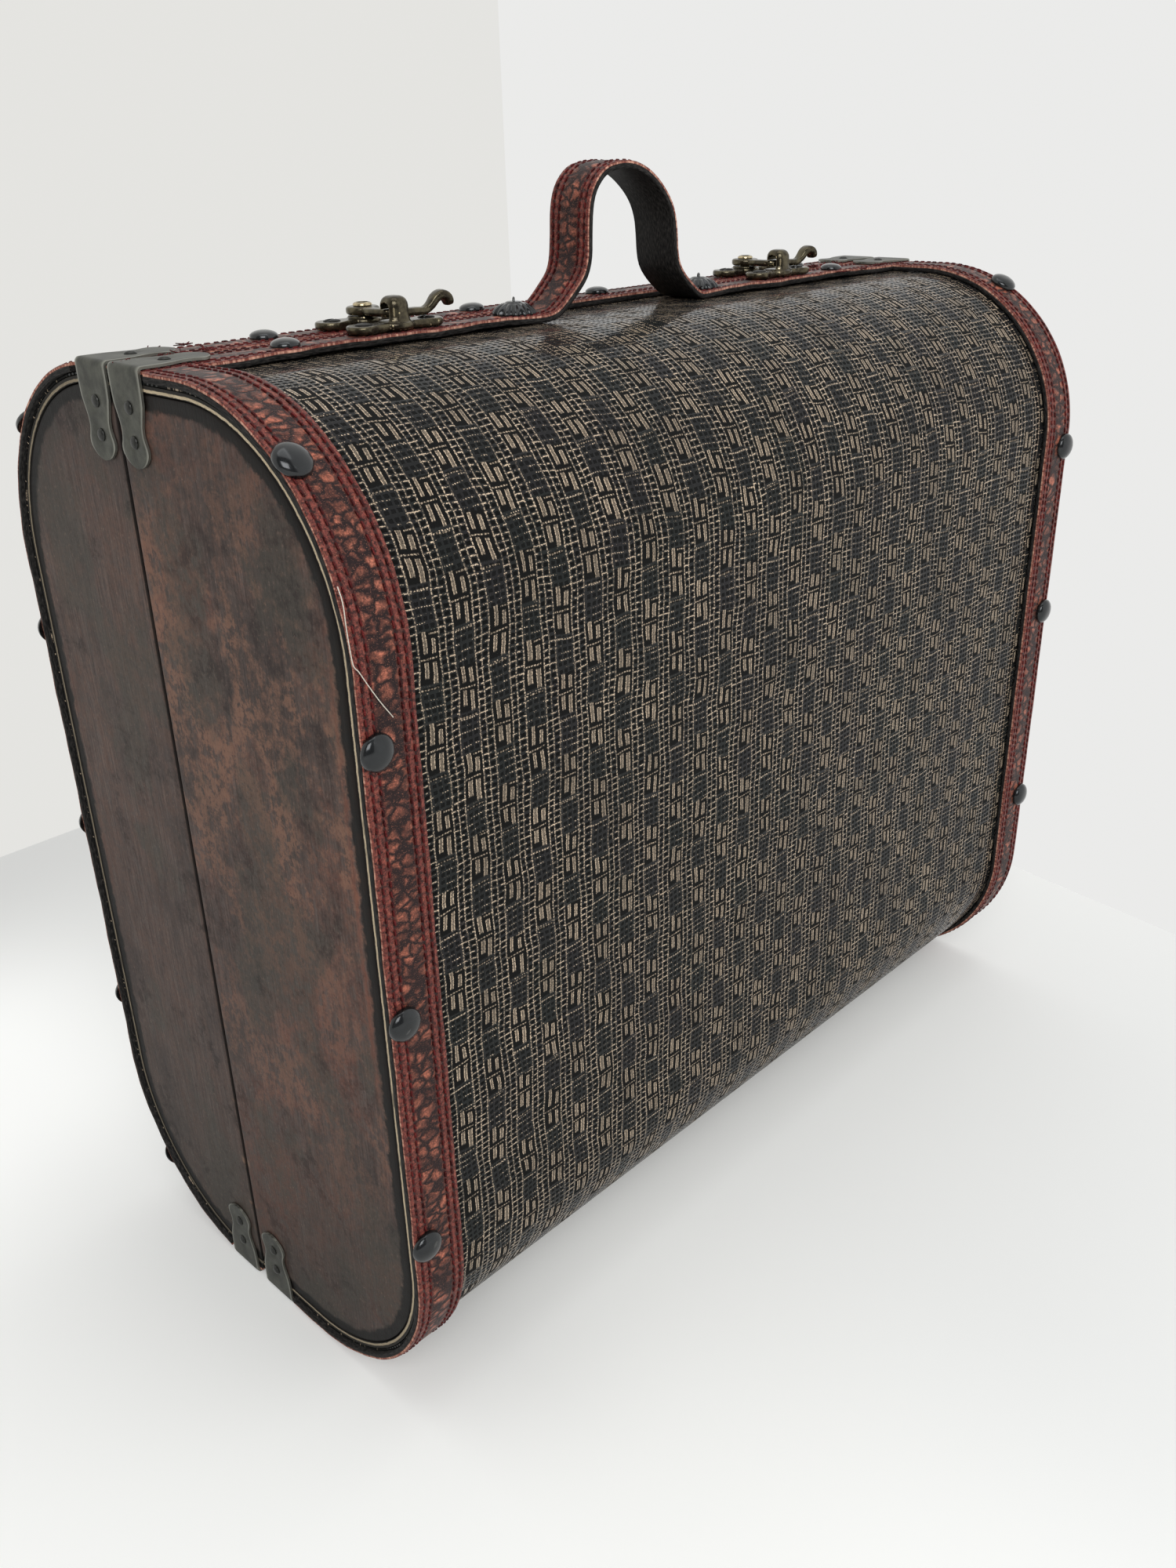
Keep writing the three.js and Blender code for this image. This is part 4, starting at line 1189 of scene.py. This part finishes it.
DISC_PROFILE = [(4.9, 3.5), (5.45, 3.8), (5.6, 4.3), (5.6, 5.3), (5.4, 5.75), (4.9, 6.05), (0, 6.05)]
# The hook's bar as (x, y), then its crook as (way along the bar's end, rise), and their widths and heights
BAR_Z = 4.75
HOOK_BAR = [(0, 0), (-1.52, -8.24), (-0.8, -13.54), (2.64, -16.84), (8, -18.3)]
BAR_WIDTHS = ([0, 0.4, 1], [5.6, 4.6, 4.4])
BAR_HEIGHT = 2.6
CROOK = [(0, 0), (2.6, 0), (4.9, 1.4), (6.9, 3.6), (9.1, 4.5), (11, 3.5), (11.8, 1.3)]
CROOK_WIDTHS = ([0, 0.25, 0.5, 0.75, 0.93, 1], [4.4, 4.0, 5.0, 5.8, 5.4, 4.4])
CROOK_HEIGHTS = ([0, 0.3, 0.55, 0.8, 0.95, 1], [2.5, 2.7, 3.1, 3.3, 3.0, 2.4])


def rings_over(outline, levels):
    """A closed form over an (x, y) outline."""
    outline = np.asarray(outline, float)
    inward = unit(outline.mean(0) - outline)
    rings = [np.column_stack((outline + inward * inset, np.full(len(outline), z))) for z, inset in levels]
    return np.concatenate(rings), closed_faces(len(rings), len(outline))


def prism(outline, z0, z1, bevel):
    """A plate from an (x, y) outline, with rounded upper and lower arrises."""
    arris = (z1 - bevel * 0.3, bevel * 0.3)
    return rings_over(outline, [(z0, bevel), (z0 + bevel, 0), (z1 - bevel, 0), arris, (z1, bevel)])


def plate_plan(half_length=18.5, lobe=5.6, waist=4.1, boss=6.2):
    """The outline of a latch plate: a boss in the middle and a lobe at each end."""
    lobe_x = half_length - lobe
    waist_x = (lobe_x + boss) / 2 + 0.6
    right = arcs(lobe_x, 0, lobe, -math.pi / 2.3, math.pi / 2.3, 16)
    front = arcs(0, 0, boss, math.pi / 2 - math.pi / 3.2, math.pi / 2 + math.pi / 3.2, 12)
    first = np.vstack((right, [[waist_x, waist]], front, [[-waist_x, waist]]))
    return np.vstack((first, -first))


def bar_along(line, widths, heights, sideways=None):
    """A rounded bar along a 3D line, its width level unless a way is given for it."""
    line = np.asarray(line, float)
    n = len(line)
    tangents = unit(np.gradient(line, axis=0))
    angles = np.arange(16) * math.tau / 16
    c, s = (np.sign(w) * np.abs(w) ** 0.6 for w in (np.cos(angles), np.sin(angles)))
    sizes = np.column_stack((np.broadcast_to(widths, n), np.broadcast_to(heights, n)))
    rows = []
    for point, tangent, (width, height) in zip(line, tangents, sizes):
        across = unit(np.cross(tangent, [0, 0, 1.0]) if sideways is None else sideways)
        lift = np.cross(across, tangent)
        rows.append(point + np.outer(c * width / 2, across) + np.outer(s * height / 2, lift))
    return np.concatenate(rows), closed_faces(n, 16)


def rough_solid(name, points, faces):
    """An object of points in millimetres, to be cast."""
    mesh = bpy.data.meshes.new(name)
    mesh.from_pydata((points / 1000).tolist(), [], faces)
    turn_outwards(mesh)
    return placed(name, mesh)


def add_remesh(obj):
    remesh = obj.modifiers.new("remesh", "REMESH")
    remesh.mode = "VOXEL"
    remesh.voxel_size = CAST_VOXEL / 1000


def cast(name, blocks, body, node, screws=(), rounds=5, cuts=()):
    """Joins closed blocks into one cast form: a fine remesh, cuts, then rounds of smoothing."""
    pile = Pile()
    for points, faces in blocks:
        pile.add(points, faces)
    rough = rough_solid(f"{name}_rough", np.concatenate(pile.points), pile.faces)
    tools = [rough_solid(f"{name}_tool", points, faces) for points, faces in cuts]
    add_remesh(rough)
    for tool in tools:
        boolean = rough.modifiers.new("cut", "BOOLEAN")
        boolean.operation = "DIFFERENCE"
        boolean.solver = "EXACT"
        boolean.object = tool
    if tools:
        add_remesh(rough)
    smooth = rough.modifiers.new("smooth", "SMOOTH")
    smooth.factor = 0.5
    smooth.iterations = rounds
    bpy.context.view_layer.update()
    result = bpy.data.meshes.new_from_object(rough.evaluated_get(bpy.context.evaluated_depsgraph_get()))
    points = np.empty(len(result.vertices) * 3)
    result.vertices.foreach_get("co", points)
    faces = [list(p.vertices) for p in result.polygons]
    for thing in [rough] + tools:
        bpy.data.objects.remove(thing)
    bpy.data.meshes.remove(result)
    whole = Pile().add(points.reshape(-1, 3) * 1000, faces)
    for block_points, block_faces in screws:
        whole.add(block_points, block_faces, 1)
    whole.piece(name, ["brass", "dark_screw"], body, "antique_brass", node, angle=60, recalc=False)


def slotted(profile, steps, spin, half_slot, up):
    """A screw head with a slot across it, as wide as twice half_slot. up is the side that its face is on."""
    points, faces = lathe(profile, steps)
    from_slot = points[:, 0] * math.cos(spin) + points[:, 1] * math.sin(spin)
    return points, faces, np.exp(-((from_slot / half_slot) ** 4)) * (points[:, 2] * up > 0.1)


def latch_screws(middle, spins):
    """The two domed screws of a latch plate."""
    screws = []
    for side, spin in spins.items():
        points, faces, slot = slotted(SCREW_PROFILE, 40, spin, 0.36, 1)
        points[:, 2] -= slot * 0.4
        screws.append((points + middle + [side * LATCH_SCREW_X, 0, LATCH_PLATE], faces))
    return screws


def moved(blocks, shift):
    return [(points + shift, faces) for points, faces in blocks]


def latch(end, x):
    """A latch: keeper with its hood, pivot plate, rivet and hook."""
    foot = HEIGHT + STUD_FOOT
    middle = np.array([x + KEEPER_SHIFT, KEEPER_Y, foot])
    plate = prism(plate_plan(), 0, LATCH_PLATE, 0.7)
    quarters = [(0.6, 1.1), (-0.6, 1.1), (-0.6, -1.1), (0.6, -1.1)]
    quarter = math.pi / 2
    turns = [arcs(*c, HOOD_RADIUS, q * quarter, (q + 1) * quarter, 8) for q, c in enumerate(quarters)]
    blocks = moved([plate, rings_over(np.vstack(turns), HOOD_LEVELS)], middle)
    cuts = moved([prism(TUNNEL, 2.7, 6.2, 0.1), bar_along(TUNNEL_CROWN, 4.6, 4.5)], middle)
    screws = latch_screws(middle, KEEPER_SCREW_SPINS)
    cast(f"{end}_keeper_casting", blocks, "base", f"{end}_keeper", screws, cuts=cuts)

    pivot = np.array([x, PIVOT_Y, foot])
    blocks = moved([plate, lathe(BOSS_PROFILE, 40)], pivot)
    screws = latch_screws(pivot, PIVOT_SCREW_SPINS)
    cast(f"{end}_pivot_casting", blocks, "lid", f"{end}_latch_plate", screws)
    points, faces = lathe(RIVET_PROFILE, 40)
    pile = Pile().add(points + pivot, faces)
    pile.piece(f"{end}_rivet_head", ["brass"], "lid", "antique_brass", f"{end}_latch_rivet", angle=40)

    bar = smooth_line(HOOK_BAR, 40)
    heading = unit(bar[-1] - bar[-3])
    crook = smooth_line(CROOK, 48)
    bar3 = np.column_stack((bar, np.full(len(bar), BAR_Z)))
    crook3 = np.column_stack((bar[-1] + crook[:, :1] * heading, BAR_Z + crook[:, 1]))
    share = np.linspace(0, 1, len(crook3))
    sideways = np.array([-heading[1], heading[0], 0])
    blocks = [
        lathe(DISC_PROFILE, 48),
        bar_along(bar3, np.interp(np.linspace(0, 1, len(bar3)), *BAR_WIDTHS), BAR_HEIGHT),
        bar_along(crook3, np.interp(share, *CROOK_WIDTHS), np.interp(share, *CROOK_HEIGHTS), sideways),
    ]
    cast(f"{end}_hook_casting", moved(blocks, pivot), f"{end}_hook", f"{end}_hook", rounds=3)


HINGE_SCREW_PROFILE = [(1.5, 0.3), (1.9, 0.05), (1.95, -0.12), (1.6, -0.26), (0.8, -0.32), (0, -0.34)]
HINGE_SCREW_Y = 9.4
HINGE_SCREW_Z = -1.1


def hinge_screws():
    """Flat slotted screw heads in the hinge leaves."""
    for end, x in HINGES.items():
        for tray, side in SIDES.items():
            pile = Pile()
            for i, dx in enumerate((-10, 0, 10)):
                points, faces, slot = slotted(HINGE_SCREW_PROFILE, 28, 0.5 + i, 0.35, -1)
                points[:, 2] += slot * 0.2
                pile.add(points + [x + dx, side * HINGE_SCREW_Y, HINGE_SCREW_Z], faces)
            pile.piece(f"{end}_hinge_{tray}_screws", ["dark_screw"], tray, "dull_steel", angle=40)


# Where the straps' cut ends are frayed, and the way of the stray thread over the left edge
TUFTS = {
    "base": [
        (-172.6, -1.7, 343.4), (-179, -1.8, 343.6), (-192.6, -2.4, 343.6), (136, -20.6, 342.5),
        (153, -20.4, 342.6), (168, -18.5, 343.3),
    ],
    "lid": [
        (-158, 20.2, 342.4), (-163, 2.0, 343.4), (-171, 18.5, 342.6), (150, 2.2, 343.1), (158, 2.6, 343.1),
        (166, 3.0, 343.1),
    ],
}
TUFT_THREADS = 14
STRAP_FACE_Z = HEIGHT + STRAP_TOP + 0.05
STRAY_THREAD = [
    (-196.9, -102.6, 299), (-197.0, -104.2, 295), (-197.3, -105.0, 289), (-197.1, -105.3, 283),
    (-196.6, -105.4, 278.6), (-195.2, -105.4, 276.6), (-192.6, -105.35, 272), (-189.4, -105.3, 266.6),
    (-185.6, -105.2, 261),
]


def loose_threads():
    """Tufts of frayed thread where the straps were cut, and a stray thread."""
    local = np.random.default_rng(23)
    t = np.linspace(0, 1, 7)[:, None]
    for tray, spots in TUFTS.items():
        pile = Pile()
        for spot in np.repeat(spots, TUFT_THREADS, axis=0):
            start = spot + local.normal(0, 0.5, 3) * [2.5, 0.6, 0.1]
            way = local.normal(0, 1, 3) * [1.0, 0.7, 0.45]
            way[2] = abs(way[2]) * 0.7
            curl = local.normal(0, 1, 3) * [1.0, 0.8, 0.3]
            length = local.uniform(1.8, 4.8)
            line = start + way * t * length * 0.6 + curl * t**2 * length * 0.25
            line[:, 2] = np.maximum(line[:, 2], STRAP_FACE_Z)
            pile.add(*tube(line, np.linspace(0.27, 0.15, len(line)), 5))
        pile.piece(f"{tray}_frayed_threads", ["thread"], tray, "strap_leather", angle=60)
    stray = Pile().add(*tube(smooth_line(STRAY_THREAD, 60), 0.16, 6))
    stray.piece("stray_thread", ["pale_thread"], "base", "bent_board", angle=60)


for tray in SIDES:
    shell(tray)
    tray_lining(tray)
    edge_strips(tray)
    for end in ENDS:
        panel(tray, end)
top_straps()
bottom_straps()
conchos()
corner_plates()
for end, x in LATCHES.items():
    latch(end, x)
hinge_screws()
loose_threads()

# The CAD nodes that stay as they are
CARRIED = {"_batten": "plain_wood", "_leaf": "steel", "_pin": "steel"}
for name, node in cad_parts.items():
    for ending, look in CARRIED.items():
        if name.endswith(ending):
            node.data.materials.clear()
            node.data.materials.append(LOOKS[look])


# Stage, in metres and with linear colours

WALL_Y = 0.434
WALL_CORNER_X = 0.352
WALL_NEAR_X = -0.036
REACH = 3
FLOOR_PALE = (0.93, 0.94, 0.92, 1.0)
# Painted shade on the floor near the back wall, and a painted shadow in front of the case
FLOOR_WALL_SHADE = (0.70, 0.705, 0.69, 1.0)
FLOOR_FRONT_SHADOW = (0.80, 0.81, 0.80, 1.0)
FLOOR_CLOUD = (0.78, 0.78, 0.765, 1.0)
# A painted contact shadow under the case's front near its left end
FLOOR_CONTACT_SHADOW = (0.72, 0.72, 0.71, 1.0)
FLOOR_LIT = (0.8, 0.805, 0.79, 1.0)
FLOOR_GLOW = (1.0, 1.0, 0.985, 1.0)
BACK_WALL = (0.78, 0.775, 0.75, 1.0)
RIGHT_WALL = (0.83, 0.83, 0.82, 1.0)
ROOM_COLOUR = (1.0, 1.0, 1.0, 1.0)
ROOM_STRENGTH = 0.42
ROOM_SEEN_BY = {
    "Is Glossy Ray": (0.2, 0.2, 0.2, 1.0),
    "Is Transmission Ray": (0.3, 0.3, 0.3, 1.0),
    "Is Camera Ray": (0.82, 0.82, 0.80, 1.0),
}


def plane(name, corners, material):
    mesh = bpy.data.meshes.new(name)
    mesh.from_pydata(corners, [], [list(range(len(corners)))])
    mesh.materials.append(material)
    obj = placed(name, mesh)
    return obj


def wall(name, start, end, colour):
    """An upright wall over the line from start to end, which casts no shadow and lights nothing."""
    corners = [(*start, 0), (*end, 0), (*end, REACH), (*start, REACH)]
    obj = plane(name, corners, wall_paint(name, colour))
    obj.visible_shadow = False
    obj.visible_diffuse = False


def floor_paint():
    """A pale floor. The camera sees it a little lighter than it lights the case, with painted shade near the
    back wall, painted shadows in front of the case and under its front near the left end, and a painted pool
    of light at the left.
    """
    g = Graph("floor_paint")
    seen = g.add("ShaderNodeLightPath", "Is Camera Ray")
    x, y, _ = g.place()
    shade = g.noise(g.vector(x, y), 260, 2)
    # The colour the camera sees, with painted shade by the back wall and painted shadows of the case
    pale = g.layers(
        FLOOR_PALE,
        (y.rise(230, 430), FLOOR_WALL_SHADE),
        (x.rise(-170, 0) * y.rise(0, -240), FLOOR_FRONT_SHADOW),
        (shade.rise(0.35, 0.65) * 0.15, FLOOR_CLOUD),
        (x.near(-155, 20, 70) * y.near(-75, 20, 60) * 0.8, FLOOR_CONTACT_SHADOW),
    )
    # A painted pool of light: at the left the camera sees the floor glow more
    lift = x.rise(-100, -200) * y.rise(60, 190) * y.rise(400, 260)
    sockets = {
        "Roughness": 0.9, "Specular IOR Level": 0.1, "Base Color": g.mix(seen, FLOOR_LIT, pale),
        "Emission Color": FLOOR_GLOW, "Emission Strength": seen * (lift * 0.14 + 0.12),
    }
    for name, value in sockets.items():
        g.put(g.shader.inputs[name], value)
    return g.material


def wall_paint(name, colour):
    """A pale wall that only the camera and reflections see, and only from its front."""
    g = Graph(name)
    g.tree.nodes.remove(g.shader)
    mix = g.add("ShaderNodeMixShader")
    g.put(mix.inputs[0], g.add("ShaderNodeNewGeometry", "Backfacing"))
    g.put(mix.inputs[1], g.add("ShaderNodeEmission", 0, Color=colour))
    g.put(mix.inputs[2], g.add("ShaderNodeBsdfTransparent", 0))
    g.tree.links.new(mix.outputs[0], g.tree.nodes["Material Output"].inputs["Surface"])
    return g.material


floor_corners = [(-REACH, -REACH, 0), (REACH, -REACH, 0), (REACH, REACH, 0), (-REACH, REACH, 0)]
plane("floor", floor_corners, floor_paint())
wall("back_wall", (-REACH, WALL_Y), (WALL_CORNER_X, WALL_Y), BACK_WALL)
wall("right_wall", (WALL_CORNER_X, WALL_Y), (WALL_NEAR_X, -REACH), RIGHT_WALL)

world = bpy.data.worlds.new("room")
bpy.context.scene.world = world
world.use_nodes = True
nodes = world.node_tree.nodes
links = world.node_tree.links
paths = nodes.new("ShaderNodeLightPath")
shown = nodes["Background"]
shown.inputs["Color"].default_value = ROOM_COLOUR
shown.inputs["Strength"].default_value = ROOM_STRENGTH
for ray, colour in ROOM_SEEN_BY.items():
    room = nodes.new("ShaderNodeBackground")
    room.inputs["Color"].default_value = colour
    choose = nodes.new("ShaderNodeMixShader")
    links.new(paths.outputs[ray], choose.inputs[0])
    links.new(shown.outputs[0], choose.inputs[1])
    links.new(room.outputs[0], choose.inputs[2])
    shown = choose
links.new(shown.outputs[0], nodes["World Output"].inputs["Surface"])


def softbox(name, place, aim_height, size, watts):
    """A square lamp that looks at a height over the middle of the floor."""
    data = bpy.data.lights.new(name, "AREA")
    data.shape = "SQUARE"
    data.size = size
    data.energy = watts
    lamp = placed(name, data)
    lamp.location = place
    lamp.rotation_euler = (Vector((0, 0, aim_height)) - Vector(place)).to_track_quat("-Z", "Y").to_euler()


softbox("key", (-1.2, -1.2, 1.4), 0.15, 1.1, 18)
softbox("fill", (0.9, -1.9, 0.9), 0.15, 1.8, 16)
softbox("top", (0.1, 0.1, 1.9), 0.2, 1.4, 8)

bpy.context.scene.view_settings.view_transform = "Standard"
